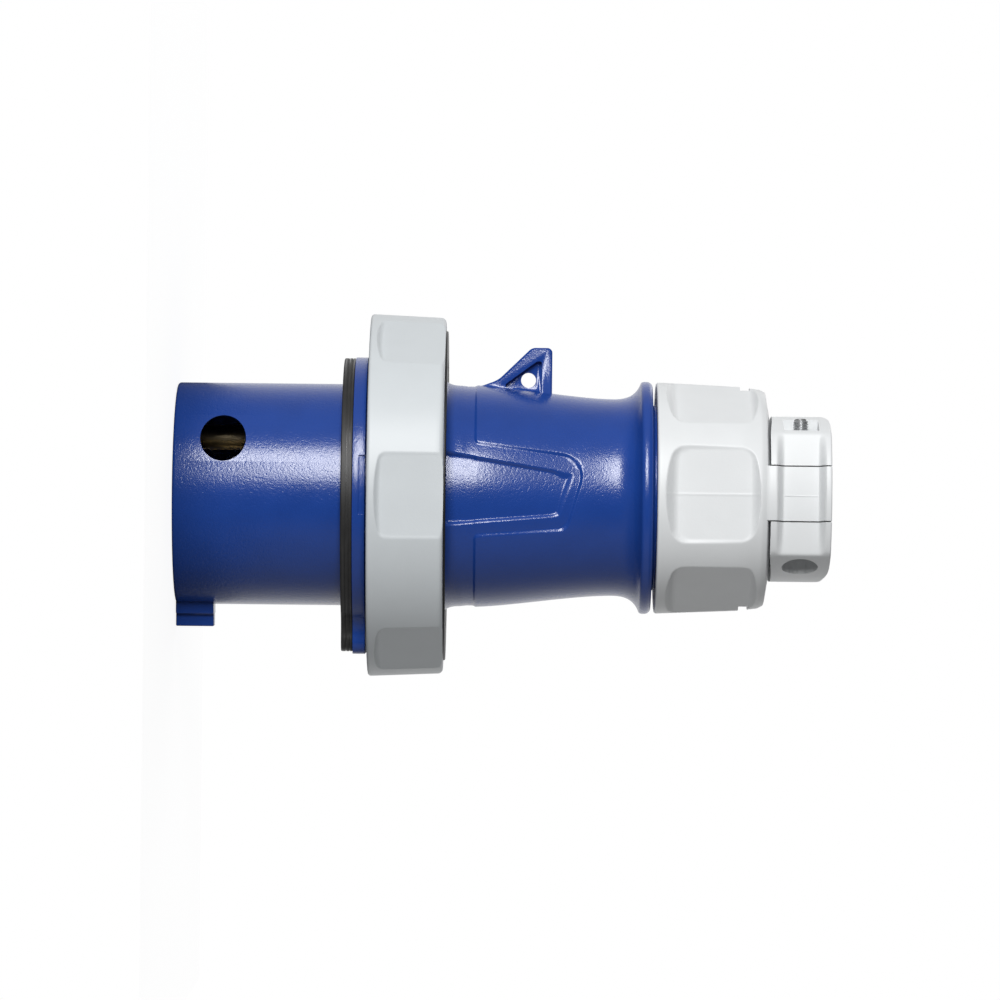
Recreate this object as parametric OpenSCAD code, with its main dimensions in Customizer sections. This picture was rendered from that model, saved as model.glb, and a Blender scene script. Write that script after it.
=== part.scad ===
// Industrial pin and sleeve plug: a watertight cable plug with a bayonet locking ring.
// The plug stands on the rim of its sleeve. Z is its axis, with the contacts down and
// the cable end up. The hanging ear points to -X, the key rib and the flange's lobe to
// +X, and the side with the recessed panel that is described here is -Y.

/* [Sleeve] */
// Outside diameter of the sleeve, that of the standard 63 A size
sleeve_d = 71; // [70:0.1:71.2]
// Wall of the sleeve
sleeve_wall = 3.2; // [2.8:0.1:3.6]
// Depth of the contact carrier's face behind the rim
contact_depth = 47; // [44:0.5:49]
// Diameter of the interlock hole through the sleeve
interlock_d = 14.5; // [10:0.5:16]
// Height of the interlock hole above the rim
interlock_z = 15.8; // [14:0.1:24]
// Reach of the key rib from the axis
key_reach = 42.6; // [40:0.1:44]
// Length of the key rib
key_len = 12.1; // [8:0.1:16]

/* [Flange and gasket] */
// Radius of the round flange
flange_r = 44.1; // [43:0.1:44.4]
// Height of the flange's front face above the rim
flange_z = 57; // [56:0.1:57.2]
// Thickness of the flange
flange_t = 3.9; // [3.5:0.1:4]
// Reach of the flange's lobe from the axis
lobe_reach = 50.7; // [48:0.1:51]
// Half width of the lobe
lobe_half = 17.5; // [12:0.5:19]
// Thickness of the gasket
gasket_t = 3.7; // [3:0.1:4]

/* [Contacts] */
// Radius of the circle that the contact pins stand on
pin_circle_r = 18; // [17:0.1:18.5]
// Diameter of a phase pin
phase_d = 8; // [7:0.1:8.4]
// Diameter of the earth pin
earth_d = 10; // [9:0.1:10.4]
// Diameter of the pilot pin
pilot_d = 6; // [5:0.1:6.4]

/* [Locking ring] */
// Radius of the ring at its front edge
ring_r = 58.06; // [57:0.01:60]
// Height of the ring's front edge above the rim
ring_z = 61.7; // [61.5:0.1:62]
// Length of the ring along the axis
ring_len = 24; // [23.5:0.1:24]
// Distance of the grip flats from the axis, half way along the ring
ring_flat = 55.75; // [55.5:0.05:56.5]
// Number of grip flats round the ring
ring_flats = 6; // [4:1:8]

/* [Handle] */
// Radius of the hidden neck that the slip ring slides on
neck_r = 35.95; // [35.5:0.05:36]
// Radius of the handle at its waist
waist_r = 31.55; // [31.3:0.05:32]
// Radius of the flare behind the waist
flare_r = 37.25; // [36:0.05:38]
// Depth of the tongue's step into the handle
tongue_deep = 0.4; // [0.2:0.05:0.6]
// Depth of the recessed panel into the handle
panel_deep = 1.3; // [0.8:0.05:1.6]

/* [Hanging ear] */
// Reach of the ear from the axis
ear_reach = 47.7; // [46:0.1:50]
// Width of the ear's rim across the plug
ear_w = 8; // [6:0.5:10]
// Thickness of the web inside the rim
ear_web = 3; // [2:0.1:4]
// Diameter of the hole in the web
ear_hole_d = 4.8; // [4:0.1:5]

/* [Gland nut] */
// Radius of the nut at its front edge
nut_r = 37.1; // [36.5:0.1:37.6]
// Distance of the six flats from the axis, at their middle
nut_flat = 32.95; // [32.7:0.05:33.4]
// Turn of the nut and the clamp about the axis, in degrees
nut_turn = -2.3; // [-10:0.1:10]

/* [Cable clamp] */
// Half height of the closed clamp, across the two jaws
clamp_half = 26.45; // [26:0.05:27]
// Radius of the clamp's round sides
clamp_r = 34.4; // [34:0.1:34.5]
// Height of the clamp's end above the rim
clamp_end = 208.2; // [207:0.1:210]
// Radius of the cable opening of the closed jaws
grip_r = 14.5; // [12:0.5:15]
// Distance of each clamp screw from the axis
screw_off = 20.5; // [20:0.1:20.8]
// Diameter of the clamp screws
screw_d = 5; // [4:0.1:5]

/* [Hidden] */
$fn = 96;

blue = [0.13, 0.25, 0.6];
pale = [0.8, 0.82, 0.84];
black = [0.12, 0.12, 0.12];
brass = [0.78, 0.66, 0.38];
steel = [0.7, 0.7, 0.72];

// Clearance of a turning or sliding fit, and of a loose one
fit = 0.08;
loose = 0.3;
// Reach of a cutting body past the surface that it cuts
past = 20;
// How far one form runs into the next, so that they join
join = 1;
// The small bevel on the edges of the moulded parts
soft = 0.8;

sleeve_r = sleeve_d / 2;
sleeve_in = sleeve_r - sleeve_wall;
// The spigot behind the flange goes into the handle
spigot_r = 32.25;
spigot_in = 29.2;
spigot_z = 74;
flange_back = flange_z + flange_t;
carrier_ledge = contact_depth + 5;
seal_r = 31.3;
seal_z = 67;
seal_thick = 1.05;
lobe_corner = 5;
// Place of the interlock hole across the plug; its axis is parallel to Y
interlock_u = 17.5;

// Contact pins: their tips, their turned collars and the terminal barrels behind them
pin_tip_z = 4.5;
earth_tip_z = 3.5;
pilot_tip_z = 12;
// Height and thickness of the collars round the pins
collar_h = 3;
collar_wall = 2.4;
// How much thicker a pin's shank is from its collar back
shank_step = 0.8;
carrier_back = 68;
terminal_z = 88;
// Heights and radius of the two clamping screws of a terminal
terminal_screw_z = [terminal_z - 10.5, terminal_z - 4];
terminal_screw_r = 2;
// Shank radius of the carrier's screws, and where their heads sit
carrier_screw_r = 1.7;
carrier_screw_off = 24.5;
// Angle of the earth pin: a quarter turn from the key, as at 9 h
earth_angle = 270;

ring_back = ring_z + ring_len;
// Draft of the ring's outside: its radius is smaller at the back
ring_draft = 1.06;
ring_in = 53;
ring_wall_z = ring_z + 19.3;
hub_r = 41.2;
hub_front = ring_z + 15.3;
hub_flange_r = 46;
retainer_r = 52.8;
retainer_z = ring_z + 22.1;
retainer_back = ring_z + 24.7;
lug_in = 46.2;
lug_span = 32;
lug_angles = [100, 280];
// Width, corner radius and cove of the ring's grip flats
ring_flat_w = 28.4;
ring_flat_corner = 3.2;
ring_flat_cove = 2;

// The handle's stations along the axis
neck_front = flange_back + 0.1;
shoulder_z = 84.5;
shoulder_r = 37.3;
seam_z = 94.9;
flare_z = 148.3;
handle_back = 151.8;
gland_r = 29.6;
gland_end = 170;
grommet_in = 14;
grommet_r = 24.8;
grommet_z = 150.5;
grommet_end = 172;

nut_z = 153.1;
nut_back = 188.1;
nut_wall_z = 184;
// The seat inside the nut that the thrust ring passes, and the opening in its back
nut_seat_r = 25.4;
nut_seat_z = 174;
nut_hole_r = 19;
// Width, corner radius, cove and draft in degrees of the nut's flats
nut_flat_w = 33;
nut_flat_corner = 5;
nut_flat_cove = 3;
nut_draft = 1.3;
jaw_z = nut_back + 0.8;
arm_half = 9.1;
arm_in = 26.5;
clamp_arc = 55;
// The recess round the clamp's sides: its bulge, its distance from the axis and its walls
recess_arc = 100;
recess_off = 30.1;
recess_z = [190.7, 192.9, 204.4, 206.5];
// The clamp screws: their height, their counterbores, heads, ends and nuts
clamp_screw_z = (jaw_z + clamp_end) / 2 + 0.2;
counterbore_r = 5.75;
head_seat = 15;
thread_tip = 24.4;
pocket_floor = 20;
captive_nut_x = 14.2;
captive_nut_t = 4;
captive_nut_r = 4.6;
// The ribs on the arms that guide the jaws, and their slots
guide_z = 196.5;
guide_len = 4;

// A point on the cubic curve from a to d with the handles b and c
function curve_point(a, b, c, d, t) =
    pow(1 - t, 3) * a + 3 * t * pow(1 - t, 2) * b + 3 * t * t * (1 - t) * c + t * t * t * d;

// A cubic curve in n steps, without its last point
function curve(a, b, c, d, n) = [for (i = [0:n - 1]) curve_point(a, b, c, d, i / n)];

function unit(v) = v / norm(v);

// The corner p1 between p0 and p2, rounded with radius r in n steps
function round_corner(p0, p1, p2, r, n) =
    let (
        u = unit(p0 - p1),
        v = unit(p2 - p1),
        half = acos(u * v) / 2,
        centre = p1 + unit(u + v) * r / sin(half),
        start = p1 + u * r / tan(half) - centre,
        end = p1 + v * r / tan(half) - centre,
        a0 = atan2(start.y, start.x),
        turn = (atan2(end.y, end.x) - a0 + 540) % 360 - 180
    )
    r <= 0 ? [p1] : [for (i = [0:n]) centre + r * [cos(a0 + turn * i / n), sin(a0 + turn * i / n)]];

// An outline of corners [x, y, radius] with its corners rounded
function rounded(c, n = 5) = [
    for (i = [0:len(c) - 1])
        let (a = c[(i + len(c) - 1) % len(c)], b = c[i], d = c[(i + 1) % len(c)])
            each round_corner([a.x, a.y], [b.x, b.y], [d.x, d.y], b[2], n)
];

// Swaps a list of [z, r] into [r, z] for a revolve
function as_rz(points) = [for (p = points) [p.y, p.x]];

// Puts a side outline, drawn as z along x and -X along y, between two distances to -Y
module side_prism(near_y, far_y) {
    multmatrix([[0, -1, 0, 0], [0, 0, -1, 0], [1, 0, 0, 0], [0, 0, 0, 1]])
        translate([0, 0, far_y])
            linear_extrude(near_y - far_y) children();
}

// Turns a body that points to +X so that it points to -Y, and on by a towards -X
module facing(a) {
    rotate([0, 0, 270 - a]) children();
}

// A body and the same on the far side
module both_sides() {
    children();
    mirror([0, 1, 0]) children();
}

// A rectangle of length along x and width along y with rounded corners
module soft_rectangle(length, width, r) {
    x = length / 2;
    y = width / 2;
    polygon(rounded([[-x, -y, r], [x, -y, r], [x, y, r], [-x, y, r]], 6));
}

// The cutter of a grip flat with coved ends. The flat is at that distance from the axis at
// its middle, and the tilt in degrees brings its back end closer.
module grip_cutter(flat, z0, z1, width, corner_r, cove_r, tilt = 0) {
    length = z1 - z0;
    translate([flat, 0, (z0 + z1) / 2])
        rotate([0, -tilt, 0])
            intersection() {
                rotate([0, 90, 0])
                    linear_extrude(past) soft_rectangle(length, width, corner_r);
                translate([past, width, 0])
                    rotate([90, 0, 0])
                        linear_extrude(2 * width) soft_rectangle(2 * past, length, cove_r);
            }
}

// The outline of the flange or the gasket: a disc with a lobe to +X
module lobed_disc(r, reach, half) {
    circle(r);
    polygon(rounded([
        [0, -half, 0], [reach, -half, lobe_corner], [reach, half, lobe_corner], [0, half, 0],
    ], 6));
}

// The sleeve, the flange with its lobe and the spigot behind it
module sleeve_housing() {
    color(blue)
        difference() {
            union() {
                rotate_extrude()
                    polygon([
                        [sleeve_in + soft, 0], [sleeve_r - soft, 0], [sleeve_r, soft],
                        [sleeve_r, flange_z + join], [spigot_r, flange_z + join],
                        [spigot_r, spigot_z - soft], [spigot_r - soft, spigot_z],
                        [spigot_in, spigot_z], [spigot_in, carrier_ledge],
                        [sleeve_in, carrier_ledge], [sleeve_in, soft],
                    ]);
                translate([0, 0, flange_z])
                    linear_extrude(flange_t) lobed_disc(flange_r, lobe_reach, lobe_half);
                key_rib();
            }
            translate([0, 0, flange_z - join])
                cylinder(r = spigot_in, h = flange_t + 2 * join);
            interlock_hole();
            both_sides() flange_notch();
            seal_groove();
        }
}

// The key rib at the sleeve's rim: a broad foot with a narrower crest
module key_rib() {
    foot_reach = 38.6;
    foot_half = 6.4;
    crest_half = 4.2;
    rim_gap = 0.1;
    translate([sleeve_r - join, -foot_half, rim_gap])
        cube([foot_reach - sleeve_r + join, 2 * foot_half, key_len]);
    translate([sleeve_r - join, -crest_half, rim_gap])
        cube([key_reach - sleeve_r + join, 2 * crest_half, key_len]);
}

// The round hole that the socket's interlock pin enters
module interlock_hole() {
    translate([-interlock_u, -past, interlock_z])
        rotate([90, 0, 0])
            cylinder(d = interlock_d, h = past);
}

// The shallow notch in the back half of the flange's rim
module flange_notch() {
    notch_deep = 0.6;
    notch_low = -6.3;
    notch_high = 12;
    intersection() {
        translate([0, 0, flange_z + flange_t / 2])
            difference() {
                cylinder(r = flange_r + past, h = past);
                translate([0, 0, -join]) cylinder(r = flange_r - notch_deep, h = past + 2 * join);
            }
        side_prism(flange_r + join, past)
            translate([flange_z, notch_low]) square([past, notch_high - notch_low]);
    }
}

// The groove of the ring seal in the spigot
module seal_groove() {
    groove_half = 1.4;
    rotate_extrude()
        translate([seal_r - seal_thick, seal_z - groove_half])
            square([past, 2 * groove_half]);
}

// The flat gasket in front of the flange
module flange_gasket() {
    inset = 0.3;
    lobe_inset = 0.8;
    color(black)
        translate([0, 0, flange_z - gasket_t])
            difference() {
                linear_extrude(gasket_t)
                    lobed_disc(flange_r - inset, lobe_reach - lobe_inset, lobe_half - inset);
                translate([0, 0, -join]) cylinder(r = sleeve_r + fit / 2, h = gasket_t + 2 * join);
            }
}

// The ring seal between the spigot and the handle
module body_seal() {
    color(black)
        translate([0, 0, seal_z])
            rotate_extrude()
                translate([seal_r, 0]) circle(r = seal_thick, $fn = 32);
}

// Places a body at each of the four pins of the circle, the earth pin first
module at_pin(index) {
    rotate([0, 0, earth_angle + 90 * index])
        translate([pin_circle_r, 0, 0]) children();
}

// The moulded carrier with raised collars round the pins
module contact_carrier() {
    face_r = sleeve_in - fit;
    body_r = spigot_in - fit;
    head_hole_r = 3.4;
    color(black)
        difference() {
            union() {
                translate([0, 0, contact_depth])
                    cylinder(r = face_r, h = carrier_ledge - contact_depth);
                translate([0, 0, contact_depth + join])
                    cylinder(r = body_r, h = carrier_back - contact_depth - join);
                for (i = [0:3])
                    at_pin(i) pin_collar(i == 0 ? earth_d : phase_d);
                pin_collar(pilot_d);
            }
            for (i = [0:3])
                at_pin(i) pin_hole(i == 0 ? earth_d : phase_d);
            pin_hole(pilot_d);
            for (s = [0, 1])
                carrier_screw_at(s) {
                    translate([0, 0, -join]) cylinder(r = head_hole_r, h = head_hole_r + join);
                    cylinder(r = carrier_screw_r, h = past);
                }
        }
}

// The collar of the carrier round a pin
module pin_collar(d) {
    translate([0, 0, contact_depth - collar_h])
        cylinder(r = d / 2 + collar_wall, h = collar_h + join);
}

// The hole in the carrier for the shank of a pin
module pin_hole(d) {
    translate([0, 0, contact_depth - collar_h - join])
        cylinder(r = d / 2 + shank_step, h = carrier_back);
}

// The two places of the carrier's screws, between the pins
module carrier_screw_at(s) {
    rotate([0, 0, 45 + 180 * s])
        translate([carrier_screw_off, 0, contact_depth]) children();
}

// The two pan head screws that hold the carrier
module carrier_screws() {
    head_r = 3.1;
    head_h = 2.4;
    shank = 16;
    slot = 0.9;
    color(steel)
        for (s = [0, 1])
            carrier_screw_at(s)
                translate([0, 0, 1])
                    difference() {
                        union() {
                            cylinder(r = head_r, h = head_h);
                            cylinder(r = carrier_screw_r, h = head_h + shank);
                        }
                        translate([-past, -slot / 2, -join]) cube([2 * past, slot, head_h / 2 + join]);
                    }
}

// A contact pin with its rounded tip and the terminal barrel behind the carrier
module contact_pin(d, tip_z) {
    r = d / 2;
    shank_r = r + shank_step;
    barrel_r = r + 2.6;
    bore_r = r + loose;
    bore_deep = 14;
    tip_round = 1.5;
    difference() {
        rotate_extrude()
            polygon(concat(
                [[0, tip_z]],
                [for (a = [-60:15:0]) [r, tip_z + tip_round] + tip_round * [cos(a) - 1, sin(a)]],
                [
                    [r, contact_depth - collar_h], [shank_r, contact_depth - collar_h],
                    [shank_r, carrier_back], [barrel_r, carrier_back],
                    [barrel_r, terminal_z - soft], [barrel_r - soft, terminal_z], [0, terminal_z],
                ]
            ));
        translate([0, 0, terminal_z - bore_deep]) cylinder(r = bore_r, h = bore_deep + join);
        for (z = terminal_screw_z)
            translate([0, 0, z]) rotate([0, 90, 0]) cylinder(r = terminal_screw_r, h = past);
    }
}

module phase_pin(index) {
    color(brass) at_pin(index) contact_pin(phase_d, pin_tip_z);
}

module earth_pin() {
    color(brass) at_pin(0) contact_pin(earth_d, earth_tip_z);
}

module pilot_pin() {
    color(brass) rotate([0, 0, 45]) contact_pin(pilot_d, pilot_tip_z);
}

// The slotted clamping screws of all the terminals
module terminal_screws() {
    color(steel) {
        for (i = [0:3])
            at_pin(i) screw_pair((i == 0 ? earth_d : phase_d) / 2);
        rotate([0, 0, 45]) screw_pair(pilot_d / 2);
    }
}

// Two slotted screws that enter a terminal barrel whose pin has radius r
module screw_pair(r) {
    length = 5.6;
    slot = 0.7;
    sunk = 1.2;
    for (z = terminal_screw_z)
        translate([r - sunk, 0, z])
            rotate([0, 90, 0])
                difference() {
                    cylinder(r = terminal_screw_r - 0.02, h = length);
                    translate([-past, -slot / 2, length - soft]) cube([2 * past, slot, past]);
                }
}

// Outside of the handle behind the seam, from the step to the flare
handle_line = concat(
    [[seam_z, 35.55]],
    curve([96, 35.5], [108, 35.05], [128, waist_r], [139.6, waist_r], 14),
    curve([139.6, waist_r], [144.5, waist_r], [146.9, 33.2], [flare_z, flare_r - 0.4], 9),
    [[flare_z, flare_r - 0.4], [149.2, flare_r], [150.3, flare_r]]
);

// The collar in front of the seam, which a concave curve joins to the shoulder
collar_line = concat(
    [[neck_front, neck_r], [shoulder_z, neck_r], [shoulder_z, shoulder_r], [85.6, shoulder_r]],
    curve([85.9, 36.9], [86.9, 35.8], [88.6, 35.4], [91, 35.4], 5),
    [[91, 35.4], [93.2, 35.15], [seam_z, 35.15]]
);

// The inside of the handle, from its back to its front
handle_inside = [
    [25, gland_end], [25, grommet_z - 0.1], [21, grommet_z - 0.1], [21, 147], [27.6, 144],
    [27.8, 139], [29, 128], [31.2, 112], [31.9, 96], [32.4, 88], [32.4, neck_front],
];

// The one-piece handle with its recessed panels, its ear and its gland thread
module handle_body() {
    color(blue) {
        difference() {
            rotate_extrude()
                polygon(concat(
                    as_rz(collar_line),
                    as_rz(handle_line),
                    [
                        [flare_r - 0.6, handle_back - 0.3], [flare_r - 1, handle_back],
                        [gland_r, handle_back], [gland_r, gland_end - soft],
                        [gland_r - soft, gland_end],
                    ],
                    handle_inside
                ));
            both_sides() {
                tongue_recess();
                panel_recess();
            }
        }
        hanging_ear();
    }
}

// The step of the tongue, which leaves its surface a little below the handle's
module tongue_recess() {
    last_z = 139;
    intersection() {
        rotate_extrude()
            polygon(concat(
                [for (p = handle_line) if (p.x <= last_z) [p.y - tongue_deep, p.x]],
                [[waist_r + past, last_z], [waist_r + past, seam_z]]
            ));
        side_prism(shoulder_r + join, past)
            polygon(rounded([
                [seam_z - 4, 21.7, 0], [seam_z, 20.5, 0], [seam_z, 17.6, 2.4],
                [131.8, 12.9, 7.5], [124.9, -10.9, 4], [seam_z, -13.1, 2.4],
                [seam_z, -16, 0], [seam_z - 4, -17, 0],
            ], 6));
    }
}

// The deeper panel inside the tongue, which runs forward under the locking ring
module panel_recess() {
    floor_r = 35.45 - panel_deep;
    corner = 1.4;
    first_z = neck_front - join;
    last_z = 138;
    intersection() {
        rotate_extrude()
            polygon(concat(
                [[floor_r, first_z], [floor_r, seam_z]],
                [for (p = handle_line) if (p.x > seam_z && p.x < last_z) [p.y - panel_deep, p.x]],
                [[waist_r + past, last_z], [waist_r + past, first_z]]
            ));
        side_prism(shoulder_r + join, past)
            polygon(rounded([
                [first_z, 18.9, 0], [127.4, 7.8, corner], [122.7, -6.6, corner], [first_z, -12, 0],
            ], 4));
    }
}

// The ear on the handle: a rim round a thin three-cornered web with a hole
module hanging_ear() {
    base_r = 33;
    hole_z = 112.2;
    hole_u = 37.3;
    difference() {
        side_prism(ear_w / 2, -ear_w / 2)
            polygon(rounded([
                [95, base_r, 0], [96, 34.9, 0], [102.5, 37.3, 9], [113.2, ear_reach, 3],
                [119.75, ear_reach, 1.6], [119.75, base_r - join, 0],
            ]));
        both_sides()
            side_prism(ear_w, ear_web / 2)
                polygon(rounded([
                    [103.6, 35.1, 0.8], [114.9, 43.4, 0.8], [116.3, 43.4, 0.6], [116.3, 33.6, 0.3],
                ]));
        side_prism(ear_w, -ear_w)
            translate([hole_z, hole_u]) circle(d = ear_hole_d);
    }
}

// The rubber grommet with the grooves between its cut-out rings
module cable_grommet() {
    groove_deep = 3;
    groove_w = 0.8;
    cone = 1.5;
    color(black)
        rotate_extrude()
            difference() {
                polygon([
                    [grommet_in, grommet_z], [grommet_r, grommet_z],
                    [grommet_r, grommet_end - cone], [grommet_r - cone, grommet_end],
                    [grommet_in, grommet_end],
                ]);
                for (r = [grommet_in + 2.5, grommet_in + 5.5])
                    translate([r, grommet_end - groove_deep])
                        square([groove_w, groove_deep + join]);
            }
}

// The ring that the gland nut presses on the grommet
module thrust_ring() {
    inner_r = 18.5;
    outer_r = nut_seat_r - soft;
    front = grommet_end + fit;
    back = nut_wall_z - fit;
    color(pale)
        rotate_extrude()
            polygon([
                [inner_r, front], [outer_r - soft, front], [outer_r, front + soft],
                [outer_r, back], [inner_r, back],
            ]);
}

// The ring that slides on the neck and carries the locking ring
module slip_ring() {
    bore = neck_r + fit;
    rim_bore = shoulder_r + loose / 2;
    hub_back = ring_back + 0.6;
    color(black)
        rotate_extrude()
            polygon([
                [bore, hub_front], [hub_flange_r, hub_front], [hub_flange_r, ring_wall_z - fit],
                [hub_r, ring_wall_z - fit], [hub_r, retainer_back - soft],
                [hub_r - soft, hub_back], [rim_bore, hub_back],
                [rim_bore, shoulder_z - fit], [bore, shoulder_z - fit],
            ]);
}

// The black plate that closes the ring's back
module ring_retainer() {
    lip_r = 43.6;
    plate_t = 1.5;
    color(black)
        rotate_extrude()
            polygon([
                [hub_r + fit / 4, retainer_z], [retainer_r, retainer_z],
                [retainer_r, retainer_back - 0.3], [retainer_r - 0.3, retainer_back],
                [lip_r, retainer_back], [lip_r, retainer_z + plate_t],
                [hub_r + fit / 4, retainer_z + plate_t],
            ]);
}

// Radius of the locking ring's outside at the height z
function ring_at(z) = ring_r - ring_draft * (z - ring_z) / ring_len;

// The locking ring: a cup with grip flats, a back wall and two bayonet ramps
module locking_ring() {
    tilt = atan(ring_draft / ring_len);
    back_r = 1.6;
    flat_front = ring_z + 2.2;
    flat_back = ring_back + 6;
    off_middle = (flat_front + flat_back - ring_z - ring_back) / 2;
    color(pale)
        difference() {
            union() {
                rotate_extrude()
                    polygon([
                        [ring_in, ring_z], [ring_r - soft, ring_z], [ring_r, ring_z + soft],
                        [ring_at(ring_back - back_r), ring_back - back_r],
                        [ring_at(ring_back) - 0.3 * back_r, ring_back - 0.3 * back_r],
                        [ring_at(ring_back) - back_r, ring_back],
                        [ring_in, ring_back], [ring_in, retainer_z - fit],
                        [hub_r + fit, retainer_z - fit], [hub_r + fit, ring_wall_z],
                        [ring_in, ring_wall_z],
                    ]);
                for (a = lug_angles)
                    rotate([0, 0, a]) bayonet_ramp();
            }
            for (i = [0:ring_flats - 1])
                facing(360 / ring_flats * i)
                    grip_cutter(ring_flat - off_middle * tan(tilt), flat_front, flat_back,
                        ring_flat_w, ring_flat_corner, ring_flat_cove, tilt);
        }
}

// One bayonet ramp inside the ring's front edge: three steps of rising thickness
module bayonet_ramp() {
    steps = 3;
    thin = 3.4;
    rise = 0.7;
    for (i = [0:steps - 1])
        rotate([0, 0, lug_span * (i / steps - 0.5)])
            translate([0, 0, ring_z + soft])
                rotate_extrude(angle = lug_span / steps + loose)
                    translate([lug_in, 0]) square([ring_in - lug_in + join, thin + rise * i]);
}

// The closed clamp's outer form from z0 to its end, with the recess in its two sides
module clamp_form(z0) {
    end_r = 3.2;
    side_half = clamp_half + 0.1;
    difference() {
        intersection() {
            translate([0, 0, z0])
                linear_extrude(clamp_end - z0)
                    intersection() {
                        circle(r = clamp_r);
                        translate([clamp_half - clamp_arc, 0]) circle(r = clamp_arc);
                        translate([clamp_arc - clamp_half, 0]) circle(r = clamp_arc);
                    }
            side_prism(2 * past, -2 * past)
                polygon(rounded([
                    [z0 - join, -side_half, 0], [clamp_end, -side_half, end_r],
                    [clamp_end, side_half, end_r], [z0 - join, side_half, 0],
                ], 8));
        }
        both_sides() side_recess();
    }
}

// The shallow recess in a side of the clamp, with a slightly bulging floor and sloped walls
module side_recess() {
    rim = clamp_r - recess_off + 0.2;
    translate([0, recess_arc - recess_off, 0])
        rotate_extrude()
            translate([recess_arc, 0])
                polygon([
                    [rim, recess_z[0]], [0, recess_z[1]], [0, recess_z[2]], [rim, recess_z[3]],
                    [past, recess_z[3]], [past, recess_z[0]],
                ]);
}

// The gland nut with six flats and the two arms that hold the jaws
module gland_nut() {
    bore_r = gland_r + 0.2;
    // The shoulder where the outside starts to curve in, and the notch cut into it
    shoulder = nut_z + 26.9;
    notch_half = 3.6;
    notch_h = 3.1;
    flat_from = nut_z + 3.2;
    flat_to = nut_back - 2.2;
    color(pale)
        rotate([0, 0, nut_turn]) {
            difference() {
                rotate_extrude()
                    polygon([
                        [bore_r + soft, nut_z], [nut_r - soft, nut_z], [nut_r, nut_z + soft],
                        [nut_r - 1.2, shoulder], [nut_r - 2, nut_back - 1.9],
                        [nut_r - 2.5, nut_back - 0.5], [nut_r - 3.5, nut_back],
                        [nut_hole_r, nut_back], [nut_hole_r, nut_wall_z],
                        [nut_seat_r, nut_wall_z], [nut_seat_r, nut_seat_z],
                        [bore_r, nut_seat_z], [bore_r, nut_z + soft],
                    ]);
                for (i = [0:5])
                    facing(60 * i)
                        grip_cutter(nut_flat, flat_from, flat_to,
                            nut_flat_w, nut_flat_corner, nut_flat_cove, nut_draft);
                for (side = [90, 270])
                    facing(side)
                        translate([nut_r - 2.6, -notch_half, shoulder])
                            cube([past, 2 * notch_half, notch_h]);
            }
            clamp_arms();
        }
}

// The nut's two arms with their guide ribs
module clamp_arms() {
    foot = nut_back - soft / 2;
    rib_reach = 1.9;
    both_sides()
        intersection() {
            clamp_form(foot);
            translate([-arm_half, -2 * past, foot])
                cube([2 * arm_half, 2 * past - arm_in, past + join]);
        }
    both_sides()
        translate([-arm_half, -arm_in - join / 2, guide_z])
            cube([2 * arm_half, rib_reach + join / 2, guide_len]);
}

// A jaw, drawn on the -X side: its outer part, and the block that fits between the arms
module jaw() {
    parting = 0.6;
    outer_from = arm_half + 0.4;
    block_half = arm_in - loose;
    groove_deep = 1.2;
    groove_w = 2.6;
    slot_deep = 2.2;
    first_groove = jaw_z + 3.4;
    last_groove = jaw_z + 13.4;
    difference() {
        intersection() {
            clamp_form(jaw_z);
            union() {
                translate([-2 * past - outer_from, -2 * past, jaw_z])
                    cube([2 * past, 4 * past, past]);
                translate([-2 * past - parting, -block_half, jaw_z])
                    cube([2 * past, 2 * block_half, past]);
            }
        }
        translate([0, 0, jaw_z - join]) cylinder(r = grip_r, h = past + 2 * join);
        for (z = [first_groove:5:last_groove])
            translate([0, 0, z]) cylinder(r = grip_r + groove_deep, h = groove_w);
        both_sides()
            translate([-outer_from, -arm_in, guide_z - loose])
                cube([outer_from, slot_deep, guide_len + 2 * loose]);
    }
}

// Places a body that stands along X at the near or the far clamp screw
module at_clamp_screw(side, x) {
    translate([x, side * screw_off, clamp_screw_z])
        rotate([0, 90, 0]) children();
}

// The jaw on the ear's side, with the pockets of the thread ends and the captive nuts
module upper_jaw() {
    color(pale)
        rotate([0, 0, nut_turn])
            difference() {
                jaw();
                for (side = [-1, 1]) {
                    at_clamp_screw(side, -2 * past) cylinder(r = screw_d / 2 + loose, h = 3 * past);
                    at_clamp_screw(side, -pocket_floor - past) cylinder(r = counterbore_r, h = past);
                    at_clamp_screw(side, -captive_nut_x - captive_nut_t)
                        rotate([0, 0, 30]) cylinder(r = captive_nut_r + fit, h = past, $fn = 6);
                }
            }
}

// The jaw on the key's side, with the counterbores of the screw heads
module lower_jaw() {
    color(pale)
        rotate([0, 0, nut_turn])
            difference() {
                mirror([1, 0, 0]) jaw();
                for (side = [-1, 1]) {
                    at_clamp_screw(side, -past) cylinder(r = screw_d / 2 + loose, h = 3 * past);
                    at_clamp_screw(side, head_seat) cylinder(r = counterbore_r, h = past);
                }
            }
}

// The hexagon nuts held in the upper jaw
module clamp_nuts() {
    color(steel)
        rotate([0, 0, nut_turn])
            for (side = [-1, 1])
                at_clamp_screw(side, -captive_nut_x - captive_nut_t + fit / 2)
                    difference() {
                        rotate([0, 0, 30]) cylinder(r = captive_nut_r, h = captive_nut_t, $fn = 6);
                        translate([0, 0, -join])
                            cylinder(r = screw_d / 2 + fit, h = captive_nut_t + 2 * join);
                    }
}

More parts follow.
